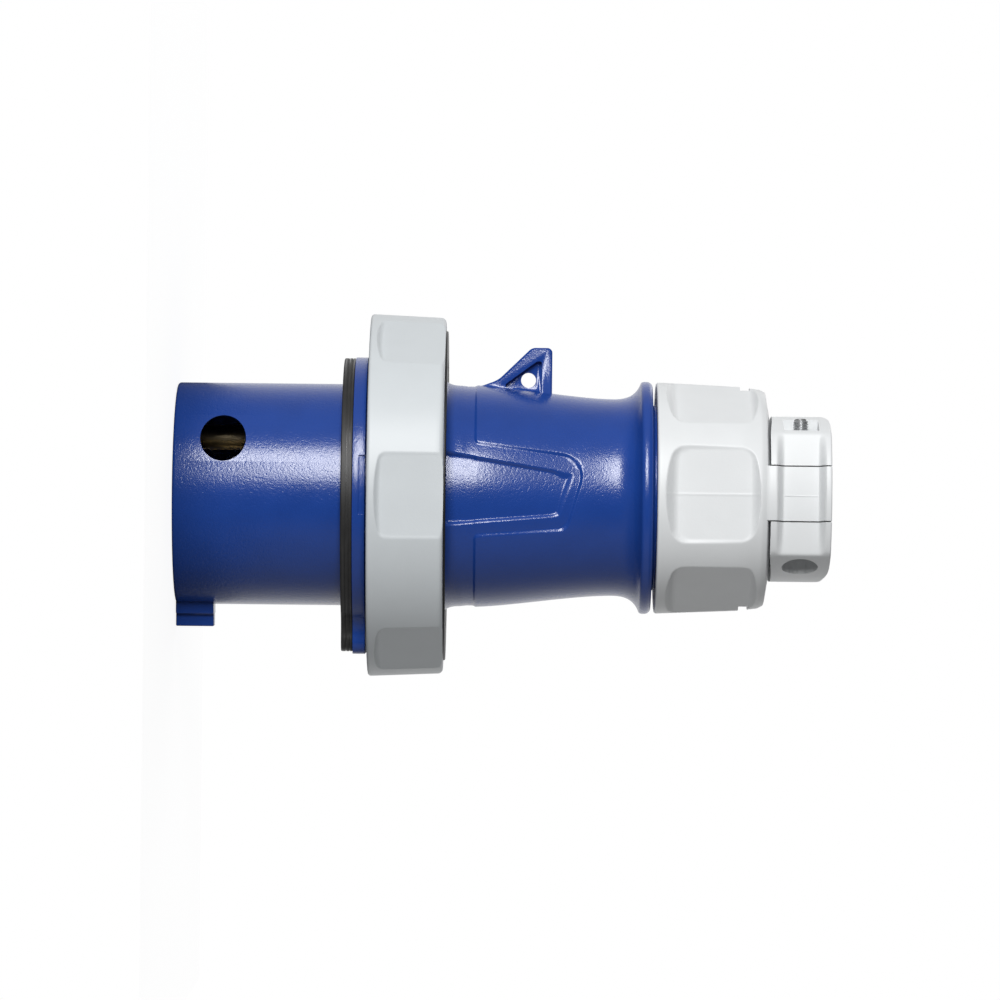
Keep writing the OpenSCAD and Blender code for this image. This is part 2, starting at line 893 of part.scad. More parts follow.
// A clamp screw with a slotted cheese head
module clamp_screw(side) {
    head_r = 4.25;
    head_h = 3.5;
    slot = 1.2;
    shank = thread_tip + head_seat + join;
    color(steel)
        rotate([0, 0, nut_turn])
            difference() {
                union() {
                    at_clamp_screw(side, -thread_tip) cylinder(d = screw_d, h = shank);
                    at_clamp_screw(side, head_seat + 0.02) cylinder(r = head_r, h = head_h);
                }
                translate([head_seat + head_h - slot, side * screw_off - slot / 2, jaw_z])
                    cube([past, slot, past]);
            }
}

sleeve_housing();
flange_gasket();
body_seal();
contact_carrier();
carrier_screws();
phase_pin(1);  // phase_pin_1
phase_pin(2);  // phase_pin_2
phase_pin(3);  // phase_pin_3
earth_pin();
pilot_pin();
terminal_screws();
handle_body();
cable_grommet();
thrust_ring();
slip_ring();
ring_retainer();
locking_ring();
gland_nut();
upper_jaw();
lower_jaw();
clamp_nuts();
clamp_screw(-1);  // clamp_screw_near
clamp_screw(1);  // clamp_screw_far
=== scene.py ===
"""The looks of an industrial pin and sleeve plug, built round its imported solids.

The plug stands on its sleeve's rim with its axis along +Z, the hanging ear to -X and the key
rib to +X. Lengths in the classes are millimetres; meshes are written in metres.
"""

import logging
import math
from dataclasses import dataclass
from enum import Enum
from typing import Any, Callable, Optional, Sequence

import bpy
import numpy as np
from mathutils import Matrix, Vector


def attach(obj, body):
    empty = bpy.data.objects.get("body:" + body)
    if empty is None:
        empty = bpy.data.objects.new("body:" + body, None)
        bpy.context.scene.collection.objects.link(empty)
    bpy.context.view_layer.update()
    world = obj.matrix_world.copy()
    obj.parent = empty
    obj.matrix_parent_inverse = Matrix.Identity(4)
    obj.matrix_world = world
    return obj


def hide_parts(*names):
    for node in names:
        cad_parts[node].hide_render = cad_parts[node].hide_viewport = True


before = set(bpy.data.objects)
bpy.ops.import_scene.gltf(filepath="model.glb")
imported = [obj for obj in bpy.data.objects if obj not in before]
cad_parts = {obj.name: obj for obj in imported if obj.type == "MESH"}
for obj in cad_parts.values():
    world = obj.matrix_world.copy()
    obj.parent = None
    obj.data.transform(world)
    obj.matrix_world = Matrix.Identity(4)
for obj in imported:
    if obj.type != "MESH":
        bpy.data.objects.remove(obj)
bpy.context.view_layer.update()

MM = 0.001
# A radius past the plug's side and a height past its end, for the shapes that cut.
PAST_SIDE = 60.0
PAST_END = 230.0
LOG = logging.getLogger("plug")

Point = tuple[float, float]
Corner = tuple[float, float, float]


class Body(Enum):
    """The moving groups of the plug, by the names that the frame gives them."""

    PLUG = "plug_body"
    SLIP = "slip_carriage"
    RING = "bayonet_ring"
    THRUST = "thrust_carriage"
    GLAND = "gland"
    UPPER = "upper_clamp"
    LOWER = "lower_clamp"


class Cut(Enum):
    """The ways in which a second shape works on a first."""

    AWAY = "DIFFERENCE"
    ONTO = "UNION"


class Value:
    """A shader value. An operation on it adds the Math node that works it out."""

    def __init__(self, tree: "Tree", socket: Any) -> None:
        """Wraps a socket of a node tree."""
        self.tree = tree
        self.socket = socket

    def _math(self, operation: str, *operands: Any) -> "Value":
        """Adds a Math node.

        Args:
            operation: Blender's name of the operation.
            operands: Values or numbers, in the order of the node's sockets.

        Returns:
            The node's result.
        """
        settings = {"operation": operation}
        made = self.tree.node("ShaderNodeMath", settings, dict(enumerate(operands)))
        return Value(self.tree, made.outputs[0])

    def __add__(self, other: Any) -> "Value":
        """Self plus other."""
        return self._math("ADD", self, other)

    __radd__ = __add__

    def __sub__(self, other: Any) -> "Value":
        """Self minus other."""
        return self._math("SUBTRACT", self, other)

    def __rsub__(self, other: Any) -> "Value":
        """Other minus self."""
        return self._math("SUBTRACT", other, self)

    def __mul__(self, other: Any) -> "Value":
        """Self times other."""
        return self._math("MULTIPLY", self, other)

    __rmul__ = __mul__

    def __abs__(self) -> "Value":
        """The size of self without its sign."""
        return self._math("ABSOLUTE", self)

    def most(self, other: Any) -> "Value":
        """The greater of self and other."""
        return self._math("MAXIMUM", self, other)

    def step(self, low: float, high: float, start: float = 0.0, end: float = 1.0) -> "Value":
        """A smooth step.

        Args:
            low: Where self starts to count.
            high: Where it stops.
            start: The result below low.
            end: The result above high.

        Returns:
            The result.
        """
        ramp = self.tree.node(
            "ShaderNodeMapRange",
            {"interpolation_type": "SMOOTHSTEP"},
            {"Value": self, "From Min": low, "From Max": high, "To Min": start, "To Max": end},
        )
        return Value(self.tree, ramp.outputs["Result"])


class Tree:
    """A node tree that is filled one call at a time."""

    def __init__(self, tree: bpy.types.NodeTree) -> None:
        """Takes a tree over and empties it."""
        self.tree = tree
        self.tree.nodes.clear()

    def node(self, kind: str, settings: dict[str, Any], inputs: dict[Any, Any]) -> Any:
        """Adds a node.

        Args:
            kind: Blender's type of the node.
            settings: Its own properties, set first.
            inputs: Numbers, colours, sockets or Values for its sockets, by name or index.

        Returns:
            The node.
        """
        made = self.tree.nodes.new(kind)
        for name, setting in settings.items():
            setattr(made, name, setting)
        for name, given in inputs.items():
            self.feed(made.inputs[name], given)
        return made

    def feed(self, socket: bpy.types.NodeSocket, given: Any) -> None:
        """Links or sets an input.

        Args:
            socket: The input.
            given: A socket or a Value to link it to, or its number or colour.
        """
        value = given.socket if isinstance(given, Value) else given
        if isinstance(value, bpy.types.NodeSocket):
            self.tree.links.new(value, socket)
        else:
            socket.default_value = value


class Shader(Tree):
    """A material's tree with its main shader."""

    def __init__(self, name: str) -> None:
        """Makes a material with its output and its main shader.

        Args:
            name: The material's name.
        """
        self.material = bpy.data.materials.new(name)
        self.material.use_nodes = True
        super().__init__(self.material.node_tree)
        self.surface = self.node("ShaderNodeBsdfPrincipled", {}, {})
        self.node("ShaderNodeOutputMaterial", {}, {"Surface": self.surface.outputs["BSDF"]})
        self.place = self.node("ShaderNodeTexCoord", {}, {}).outputs["Object"]

    def noise(self, size: float, detail: float = 2.0, stretch: Sequence[float] = (1, 1, 1)) -> Value:
        """A noise from 0 to 1.

        Args:
            size: The size of its grains in millimetres.
            detail: How many finer layers it has.
            stretch: How much denser it is along X, Y and Z.

        Returns:
            The noise.
        """
        placed = self.node("ShaderNodeMapping", {}, {"Vector": self.place, "Scale": tuple(stretch)})
        inputs = {"Vector": placed.outputs[0], "Scale": 1 / (size * MM), "Detail": detail}
        return Value(self, self.node("ShaderNodeTexNoise", {}, inputs).outputs[0])

    def mix(self, factor: Any, first: Sequence[float], second: Sequence[float]) -> Any:
        """The colour between two colours.

        Args:
            factor: A Value or socket, 0 for the first colour and 1 for the second.
            first: The first colour.
            second: The second colour.

        Returns:
            The mixed colour's socket.
        """
        inputs = {0: factor, 6: (*first, 1.0), 7: (*second, 1.0)}
        return self.node("ShaderNodeMix", {"data_type": "RGBA"}, inputs).outputs[2]

    def bump(self, height: Value, depth: float) -> None:
        """Raises the surface by height times depth, in millimetres."""
        inputs = {"Height": height, "Distance": depth * MM, "Strength": 1.0}
        self.set("Normal", self.node("ShaderNodeBump", {}, inputs).outputs[0])

    def set(self, socket: str, given: Any) -> None:
        """Sets or links one socket of the main shader."""
        self.feed(self.surface.inputs[socket], given)


@dataclass(frozen=True)
class Moulded:
    """Injection moulded plastic with the fine spark-eroded grain of its tool.

    Attributes:
        name: The material's name.
        colour: Its colour, linear.
        roughness: Its mean roughness.
        grain: Size of the grain in millimetres.
        depth: Depth of the grain in millimetres.
        shift: How far the colour varies between light and dark.
    """

    name: str
    colour: tuple[float, float, float]
    roughness: float = 0.4
    grain: float = 0.3
    depth: float = 0.012
    shift: float = 0.06

    def make(self) -> bpy.types.Material:
        """Builds the material.

        Returns:
            The material.
        """
        shader = Shader(self.name)
        grain = shader.noise(self.grain, 2.0)
        cloud = shader.noise(9.0, 3.0)
        flow = shader.noise(28.0, 2.0, (1.0, 1.0, 0.35))
        dark = tuple(c * (1 - self.shift) for c in self.colour)
        light = tuple(min(1.0, c * (1 + self.shift)) for c in self.colour)
        tone = (cloud * 0.45 + flow * 0.4 + grain * 0.15).step(0.3, 0.7)
        shader.set("Base Color", shader.mix(tone, dark, light))
        shader.set("Roughness", self.roughness - 0.05 + grain * 0.06 + cloud * 0.05)
        pits = shader.noise(self.grain * 2.6, 1.0).step(0.28, 0.5)
        shader.bump(grain * 0.8 + pits * 0.35, self.depth)
        return shader.material


@dataclass(frozen=True)
class Rubber:
    """Matt black rubber with a soft, dusty bloom and fine lines round it; the lines also lighten its
    colour as a painted sheen.

    Attributes:
        name: The material's name.
        colour: Its colour, linear.
    """

    name: str
    colour: tuple[float, float, float] = (0.018, 0.0175, 0.017)

    def make(self) -> bpy.types.Material:
        """Builds the material.

        Returns:
            The material.
        """
        shader = Shader(self.name)
        grain = shader.noise(0.45, 3.0)
        bloom = shader.noise(6.0, 4.0).step(0.45, 0.75)
        dusty_and_sheen = tuple(c * 2.1 for c in self.colour)
        lines = shader.noise(0.55, 1.0, (0.02, 0.02, 1.0)).step(0.5, 0.64)
        # The bloom lightens the colour as real dust. The fine lines lighten it too, as painted sheen for
        # the glints along them, on top of their real bump and roughness.
        shader.set("Base Color", shader.mix(bloom * 0.4 + lines * 0.3, self.colour, dusty_and_sheen))
        shader.set("Roughness", 0.44 + grain * 0.14 - lines * 0.2)
        shader.bump(grain * 0.4 + lines, 0.02)
        return shader.material


@dataclass(frozen=True)
class Metal:
    """A bare or plated metal with the fine rings that its turning left.

    Attributes:
        name: The material's name.
        colour: Its colour, linear.
        tarnish: Its colour where it is dull.
        roughness: Its mean roughness.
    """

    name: str
    colour: tuple[float, float, float]
    tarnish: tuple[float, float, float]
    roughness: float = 0.28

    def make(self) -> bpy.types.Material:
        """Builds the material.

        Returns:
            The material.
        """
        shader = Shader(self.name)
        rings = shader.noise(0.9, 2.0, (0.05, 0.05, 6.0))
        haze = shader.noise(3.5, 4.0)
        shader.set("Metallic", 1.0)
        shader.set("Base Color", shader.mix(haze.step(0.4, 0.75), self.colour, self.tarnish))
        shader.set("Roughness", self.roughness + haze * 0.16)
        shader.bump(rings, 0.006)
        return shader.material


class Finishes:
    """The finished materials, each made once."""

    BLUE = Moulded("blue_plastic", (0.0115, 0.053, 0.285), roughness=0.22, depth=0.05, grain=0.42)
    RING = Moulded("ring_plastic", (0.60, 0.635, 0.655), roughness=0.42, shift=0.02)
    NUT = Moulded("nut_plastic", (0.742, 0.76, 0.77), roughness=0.42, shift=0.02)
    BLACK = Moulded("black_plastic", (0.009, 0.009, 0.0095), roughness=0.46)
    RUBBER = Rubber("rubber")
    # The brass's colour and its tarnish are darker than bright brass: painted shade for the pins deep
    # inside the sleeve, which the interlock hole shows dark.
    BRASS = Metal("plated_brass_painted_shade", (0.52, 0.43, 0.27), (0.40, 0.32, 0.19), 0.36)
    STEEL = Metal("zinced_steel", (0.62, 0.63, 0.64), (0.42, 0.42, 0.42), 0.34)

    def __init__(self) -> None:
        """Starts with no material made."""
        self._made: dict[str, bpy.types.Material] = {}

    def of(self, finish: Any) -> bpy.types.Material:
        """The material of a finish.

        Args:
            finish: One of the finishes above.

        Returns:
            Its material, which is made the first time.
        """
        if finish.name not in self._made:
            self._made[finish.name] = finish.make()
        return self._made[finish.name]


FINISHES = Finishes()


class Bench:
    """Modelling operators, each on the one piece that it is given."""

    @staticmethod
    def take(piece: bpy.types.Object) -> None:
        """Makes a piece the only one that is selected, and the active one.

        Args:
            piece: The piece.
        """
        bpy.ops.object.select_all(action="DESELECT")
        piece.select_set(True)
        bpy.context.view_layer.objects.active = piece

    @staticmethod
    def named(name: str) -> bpy.types.Object:
        """Names the piece that was just added, and its mesh.

        Args:
            name: The name.

        Returns:
            The piece.
        """
        piece = bpy.context.active_object
        piece.name = name
        piece.data.name = name
        return piece

    @staticmethod
    def loop(name: str, places: Sequence[Sequence[float]], filled: bool) -> bpy.types.Object:
        """A closed loop of vertices, from a circle whose vertices are put in place.

        Args:
            name: The piece's name.
            places: The vertices' places in millimetres.
            filled: Whether the loop has a face.

        Returns:
            The piece.
        """
        bpy.ops.object.select_all(action="DESELECT")
        bpy.ops.mesh.primitive_circle_add(
            vertices=len(places), radius=1.0, fill_type="NGON" if filled else "NOTHING"
        )
        piece = Bench.named(name)
        flat = np.array(places, np.float32).reshape(-1, 3) * MM
        piece.data.vertices.foreach_set("co", flat.ravel())
        piece.data.update()
        return piece

    @staticmethod
    def mend(piece: bpy.types.Object) -> None:
        """Merges the doubles of a closed piece and turns its faces outwards.

        Args:
            piece: The piece.
        """
        Bench.take(piece)
        bpy.ops.object.mode_set(mode="EDIT")
        bpy.ops.mesh.select_all(action="SELECT")
        bpy.ops.mesh.remove_doubles(threshold=0.002 * MM)
        bpy.ops.mesh.delete_loose()
        bpy.ops.mesh.select_all(action="SELECT")
        bpy.ops.mesh.normals_make_consistent(inside=False)
        bpy.ops.object.mode_set(mode="OBJECT")

    @staticmethod
    def spin(name: str, section: Sequence[Point], steps: int) -> bpy.types.Object:
        """A turned piece, from a closed section and a grid that is wrapped round Z.

        Args:
            name: The piece's name.
            section: The section's points, radius and height.
            steps: The number of steps in a whole turn.

        Returns:
            The piece.
        """
        rows = len(section)
        bpy.ops.object.select_all(action="DESELECT")
        bpy.ops.mesh.primitive_grid_add(x_subdivisions=steps, y_subdivisions=rows, size=2 * MM)
        piece = Bench.named(name)
        flat = Bench.places(piece)
        column = np.rint((flat[:, 0] + 1) / 2 * steps).astype(int) % steps
        row = np.rint((flat[:, 1] + 1) / 2 * rows).astype(int) % rows
        angle = 2 * math.pi * column / steps
        reach, height = np.array(section, float)[row].T
        Bench.place(piece, np.stack([reach * np.cos(angle), reach * np.sin(angle), height], 1))
        Bench.mend(piece)
        return piece

    @staticmethod
    def plate(
        name: str, outline: Sequence[Point], low: float, high: float, frame: Optional[Matrix] = None
    ) -> bpy.types.Object:
        """A flat outline extruded to a plate.

        Args:
            name: The piece's name.
            outline: Its corners along the frame's first two axes.
            low: Where it starts along the third axis.
            high: Where it ends along it.
            frame: The three axes as columns, X, Y and Z where none is given.

        Returns:
            The piece.
        """
        axes = frame or Matrix.Identity(3)
        places = [axes @ Vector((a, b, low)) for a, b in outline]
        piece = Bench.loop(name, [tuple(p) for p in places], True)
        Bench.take(piece)
        bpy.ops.object.mode_set(mode="EDIT")
        bpy.ops.mesh.select_all(action="SELECT")
        way = axes @ Vector((0, 0, (high - low) * MM))
        bpy.ops.mesh.extrude_region_move(TRANSFORM_OT_translate={"value": tuple(way)})
        bpy.ops.mesh.select_all(action="SELECT")
        bpy.ops.mesh.normals_make_consistent(inside=False)
        bpy.ops.object.mode_set(mode="OBJECT")
        return piece

    @staticmethod
    def cut(piece: bpy.types.Object, tool: bpy.types.Object, way: Cut = Cut.AWAY) -> None:
        """Cuts a piece with a tool, or joins the tool to it, and takes the tool away.

        Args:
            piece: The piece.
            tool: The shape that is cut out of it or joined to it.
            way: Which of the two.
        """
        Bench.take(piece)
        modifier = piece.modifiers.new("cut", "BOOLEAN")
        modifier.operation = way.value
        modifier.solver = "MANIFOLD"
        modifier.object = tool
        bpy.ops.object.modifier_apply(modifier=modifier.name)
        bpy.data.objects.remove(tool)

    @staticmethod
    def soften(piece: bpy.types.Object, width: float, segments: int = 3, angle: float = 32.0) -> None:
        """Rounds a piece's edges.

        Args:
            piece: The piece.
            width: How far back the rounding starts, in millimetres.
            segments: The number of faces across it.
            angle: The least angle in degrees at which an edge is rounded.
        """
        Bench.take(piece)
        modifier = piece.modifiers.new("soften", "BEVEL")
        modifier.width = width * MM
        modifier.segments = segments
        modifier.limit_method = "ANGLE"
        modifier.angle_limit = math.radians(angle)
        modifier.use_clamp_overlap = True
        bpy.ops.object.modifier_apply(modifier=modifier.name)

    @staticmethod
    def smooth(piece: bpy.types.Object, angle: float = 35.0) -> None:
        """Shades a piece smooth, apart from edges sharper than the angle in degrees."""
        Bench.take(piece)
        bpy.ops.object.shade_smooth_by_angle(angle=math.radians(angle))

    @staticmethod
    def places(piece: bpy.types.Object) -> np.ndarray:
        """The places of a piece's vertices.

        Args:
            piece: The piece.

        Returns:
            The places in millimetres, one row each.
        """
        flat = np.zeros(len(piece.data.vertices) * 3, np.float32)
        piece.data.vertices.foreach_get("co", flat)
        return flat.reshape(-1, 3).astype(float) / MM

    @staticmethod
    def place(piece: bpy.types.Object, places: np.ndarray) -> None:
        """Writes a piece's vertices back from millimetres."""
        piece.data.vertices.foreach_set("co", (places * MM).astype(np.float32).ravel())
        piece.data.update()

    @staticmethod
    def block(name: str, one: Sequence[float], other: Sequence[float]) -> bpy.types.Object:
        """A box between two opposite corners, in millimetres.

        Args:
            name: The piece's name.
            one: A corner.
            other: The corner opposite it.

        Returns:
            The piece.
        """
        (left, right), (near, far), (low, high) = map(sorted, zip(one, other))
        return Bench.plate(name, [(left, near), (right, near), (right, far), (left, far)], low, high)

    @staticmethod
    def rod(
        name: str, start: Sequence[float], way: Sequence[float], radius: float, length: float, sides: int
    ) -> bpy.types.Object:
        """A rod from a place along a direction, in millimetres.

        Args:
            name: The piece's name.
            start: The middle of its first end.
            way: Its direction.
            radius: Its radius, to the corners.
            length: Its length.
            sides: Its number of sides.

        Returns:
            The piece.
        """
        along = Vector(way).normalized()
        middle = (Vector(start) + along * length / 2) * MM
        turn = along.to_track_quat("Z", "X").to_euler()
        bpy.ops.object.select_all(action="DESELECT")
        bpy.ops.mesh.primitive_cylinder_add(
            vertices=sides, radius=radius * MM, depth=length * MM, location=middle, rotation=turn
        )
        piece = Bench.named(name)
        bpy.ops.object.transform_apply(location=True, rotation=True, scale=True)
        return piece

    @staticmethod
    def sweep(
        name: str, section: Sequence[Point], start: float, span: float, steps: int
    ) -> bpy.types.Object:
        """A part of a turned piece.

        Args:
            name: The piece's name.
            section: Its section's points, radius and height.
            start: The angle from +X at which it starts, in degrees.
            span: How far it goes round, in degrees.
            steps: The number of steps in it.

        Returns:
            The piece.
        """
        piece = Bench.loop(name, [(r, 0.0, z) for r, z in section], True)
        Bench.take(piece)
        bpy.ops.object.mode_set(mode="EDIT")
        bpy.ops.mesh.select_all(action="SELECT")
        bpy.ops.mesh.spin(steps=steps, angle=math.radians(span), center=(0, 0, 0), axis=(0, 0, 1))
        bpy.ops.object.mode_set(mode="OBJECT")
        Bench.mend(piece)
        spots = Bench.places(piece)
        middle = math.degrees(math.atan2(spots[:, 1].mean(), spots[:, 0].mean()))
        Bench.turn(piece, start + span / 2 - middle)
        return piece

    @staticmethod
    def together(*pieces: bpy.types.Object) -> bpy.types.Object:
        """Makes pieces that don't touch one piece, so that one cut does for them all.

        Args:
            pieces: The pieces.

        Returns:
            The first of them, which holds them all.
        """
        Bench.take(pieces[0])
        for piece in pieces[1:]:
            piece.select_set(True)
        bpy.ops.object.join()
        return pieces[0]

    @staticmethod
    def turn(piece: bpy.types.Object, angle: float) -> None:
        """Turns a piece's mesh about the plug's axis by an angle in degrees."""
        piece.data.transform(Matrix.Rotation(math.radians(angle), 4, "Z"))
        piece.data.update()

    @staticmethod
    def mirror_x(piece: bpy.types.Object) -> None:
        """Mirrors a piece's mesh from -X to +X.

        Args:
            piece: The piece.
        """
        piece.data.transform(Matrix.Scale(-1, 4, (1, 0, 0)))
        piece.data.flip_normals()
        piece.data.update()

    @staticmethod
    def hand_over(
        piece: bpy.types.Object, finish: Any, body: Body, slot: str, *nodes: str
    ) -> None:
        """Dresses a finished piece and puts it on its body.

        Args:
            piece: The finished piece.
            finish: Its finish.
            body: The body that it rides on.
            slot: The record's material slot; not used.
            nodes: The CAD nodes that it stands for.
        """
        piece.data.materials.clear()
        piece.data.materials.append(FINISHES.of(finish))
        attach(piece, body.value)
        if nodes:
            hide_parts(*nodes)
        triangles = len(piece.data.loops) - 2 * len(piece.data.polygons)
        LOG.info("%s: %d triangles", piece.name, triangles)


def arc_corner(before: Point, corner: Point, after: Point, radius: float, steps: int) -> list[Point]:
    """The points of a rounded corner.

    Args:
        before: The point before the corner.
        corner: The corner.
        after: The point after it.
        radius: Its radius, or 0 for a sharp one.
        steps: The number of steps round it.

    Returns:
        The points from the start of the round to its end.
    """
    if radius <= 0:
        return [corner]
    here, one, two = np.array(corner), np.array(before), np.array(after)
    u = (one - here) / np.linalg.norm(one - here)
    v = (two - here) / np.linalg.norm(two - here)
    half = math.acos(float(np.clip(u @ v, -1, 1))) / 2
    middle = here + (u + v) / np.linalg.norm(u + v) * radius / math.sin(half)
    start = here + u * radius / math.tan(half) - middle
    end = here + v * radius / math.tan(half) - middle
    first = math.atan2(start[1], start[0])
    turn = (math.atan2(end[1], end[0]) - first + 3 * math.pi) % (2 * math.pi) - math.pi
    spots = [first + turn * i / steps for i in range(steps + 1)]
    return [(middle[0] + radius * math.cos(a), middle[1] + radius * math.sin(a)) for a in spots]


def rounded(corners: Sequence[Corner], steps: int = 6) -> list[Point]:
    """A closed outline with rounded corners.

    Args:
        corners: Its corners, two places and a radius each.
        steps: The number of steps round a corner.

    Returns:
        The outline.
    """
    made: list[Point] = []
    for i, (x, y, radius) in enumerate(corners):
        before, after = corners[i - 1], corners[(i + 1) % len(corners)]
        made += arc_corner(before[:2], (x, y), after[:2], radius, steps)
    return made


def divided(line: Sequence[Point], spacing: Callable[[Point], float]) -> list[Point]:
    """A closed line with more points.

    Args:
        line: The line's corners, which are all kept.
        spacing: Says how far apart the points may be at a place.

    Returns:
        The line.
    """
    made: list[Point] = []
    for i, here in enumerate(line):
        after = line[(i + 1) % len(line)]
        length = math.dist(here, after)

        def spot(done: float) -> Point:
            """The place that far along this side."""
            t = min(1.0, done / length)
            return (here[0] + (after[0] - here[0]) * t, here[1] + (after[1] - here[1]) * t)

        done = 0.0
        while done < length - 1e-9:
            made.append(spot(done))
            step = spacing(spot(done))
            step = min(step, max(spacing(spot(done + step)), 0.3 * step))
            done += (length - done) / max(1, math.ceil((length - done) / step - 1e-6))
    return made


def cubic(a: Point, b: Point, c: Point, d: Point, steps: int) -> list[Point]:
    """A cubic curve without its last point.

    Args:
        a: Its start.
        b: The handle of its start.
        c: The handle of its end.
        d: Its end.
        steps: The number of steps in it.

    Returns:
        Its points.
    """
    made = []
    for i in range(steps):
        t = i / steps
        weights = ((1 - t) ** 3, 3 * t * (1 - t) ** 2, 3 * t * t * (1 - t), t**3)
        made.append(tuple(sum(w * p[k] for w, p in zip(weights, (a, b, c, d))) for k in (0, 1)))
    return made


def inside_distance(outline: Sequence[Point], x: np.ndarray, y: np.ndarray) -> np.ndarray:
    """The distance of points from a closed outline, positive inside it.

    Args:
        outline: The outline's corners.
        x: The points' first places.
        y: Their second places.

    Returns:
        The distances.
    """
    nearest = np.full(x.shape, np.inf)
    within = np.zeros(x.shape, bool)
    for (ax, ay), (bx, by) in zip(outline, [*outline[1:], outline[0]]):
        dx, dy = bx - ax, by - ay
        along = np.clip(((x - ax) * dx + (y - ay) * dy) / (dx * dx + dy * dy), 0, 1)
        nearest = np.minimum(nearest, np.hypot(x - ax - along * dx, y - ay - along * dy))
        crosses = (ay > y) != (by > y)
        reach = ax + (y - ay) * dx / np.where(dy == 0, 1e-12, dy)
        within ^= crosses & (x < reach)
    return np.where(within, nearest, -nearest)


def ease(t: np.ndarray) -> np.ndarray:
    """A smooth step from 0 to 1 as t goes from 0 to 1."""
    t = np.clip(t, 0, 1)
    return t * t * (3 - 2 * t)


def soft_least(a: np.ndarray, b: np.ndarray, blend: float) -> np.ndarray:
    """The lesser of two, with a rounding where they meet of about that size."""
    h = np.clip(0.5 + 0.5 * (b - a) / blend, 0, 1)
    return b + (a - b) * h - blend * h * (1 - h)


@dataclass
class GripFlats:
    """Equal grip flats round a turned piece, with coved ends.

    Attributes:
        count: The number of flats.
        near: The flat's distance from the axis at its front end.
        far: Its distance at its back end.
        front: Height of its front end.
        back: Height of its back end.
        half: Half of its width.
        corner: Radius of its outline's corners.
        cove: Length over which its surface curves up at its ends.
        steep: Slope of its ends beyond the curve.
        bow: How far its ends are drawn in at its corners.
        spread: How far the flats beside the first and its opposite are turned away from
            them, in degrees.
        lift: How much further out those flats are.
        draft: Its fall away from the middle on both sides, as a slope.
        blend: Rounding of its edges.
    """

    count: int
    near: float
    far: float
    front: float
    back: float
    half: float
    corner: float
    cove: float
    steep: float = 1.3
    bow: float = 0.0
    spread: float = 0.0
    lift: float = 0.0
    draft: float = 0.0
    blend: float = 0.22

    def fall(self, across: np.ndarray) -> np.ndarray:
        """How far a flat with the parting line lies below that line's ridge.

        Args:
            across: Places across the flat.

        Returns:
            The depths there.
        """
        if not self.draft:
            return np.zeros(across.shape)
        return self.draft * np.abs(across) + 0.1 * ease((np.abs(across) - 0.1) / 0.35)

    def press(self, spots: np.ndarray, outer: np.ndarray) -> np.ndarray:
        """Presses the flats into the outside of a turned piece.

        Args:
            spots: The piece's vertices, which are changed.
            outer: Which of them are on its outside.

        Returns:
            The vertices.
        """
        x, y, z = spots[outer].T
        reach = np.hypot(x, y)
        centre, length = (self.front + self.back) / 2, (self.back - self.front) / 2
        level = self.near + (self.far - self.near) * (z - self.front) / (2 * length)
        least = reach.copy()
        for k in range(self.count):
            turn = k % (self.count // 2)
            main = turn == 0
            away = 0.0 if main else self.spread * (1 if turn == 1 else -1)
            way = math.radians(270 + 360 / self.count * k + away)
            out = x * math.cos(way) + y * math.sin(way)
            across = -x * math.sin(way) + y * math.cos(way)
            side = np.abs(across) - (self.half - self.corner)
            bowed = self.bow * np.clip(across / self.half, -1, 1) ** 2
            end = np.abs(z - centre) - (length - self.corner - bowed)
            beyond = np.hypot(np.maximum(side, 0), np.maximum(end, 0))
            edge = beyond + np.minimum(np.maximum(side, end), 0) - self.corner
            t = np.clip(edge + self.cove, 0, self.cove)
            rise = self.steep * (t * t / (2 * self.cove) + np.maximum(edge, 0))
            facing = out > 0.5 * reach
            height = level + rise + (-self.fall(across) if main else self.lift)
            limit = np.where(facing, reach * height / np.where(facing, out, 1), np.inf)
            near_it = limit < reach + 2
            least[near_it] = soft_least(least[near_it], limit[near_it], self.blend)
        spots[outer, 0] *= least / reach
        spots[outer, 1] *= least / reach
        return spots


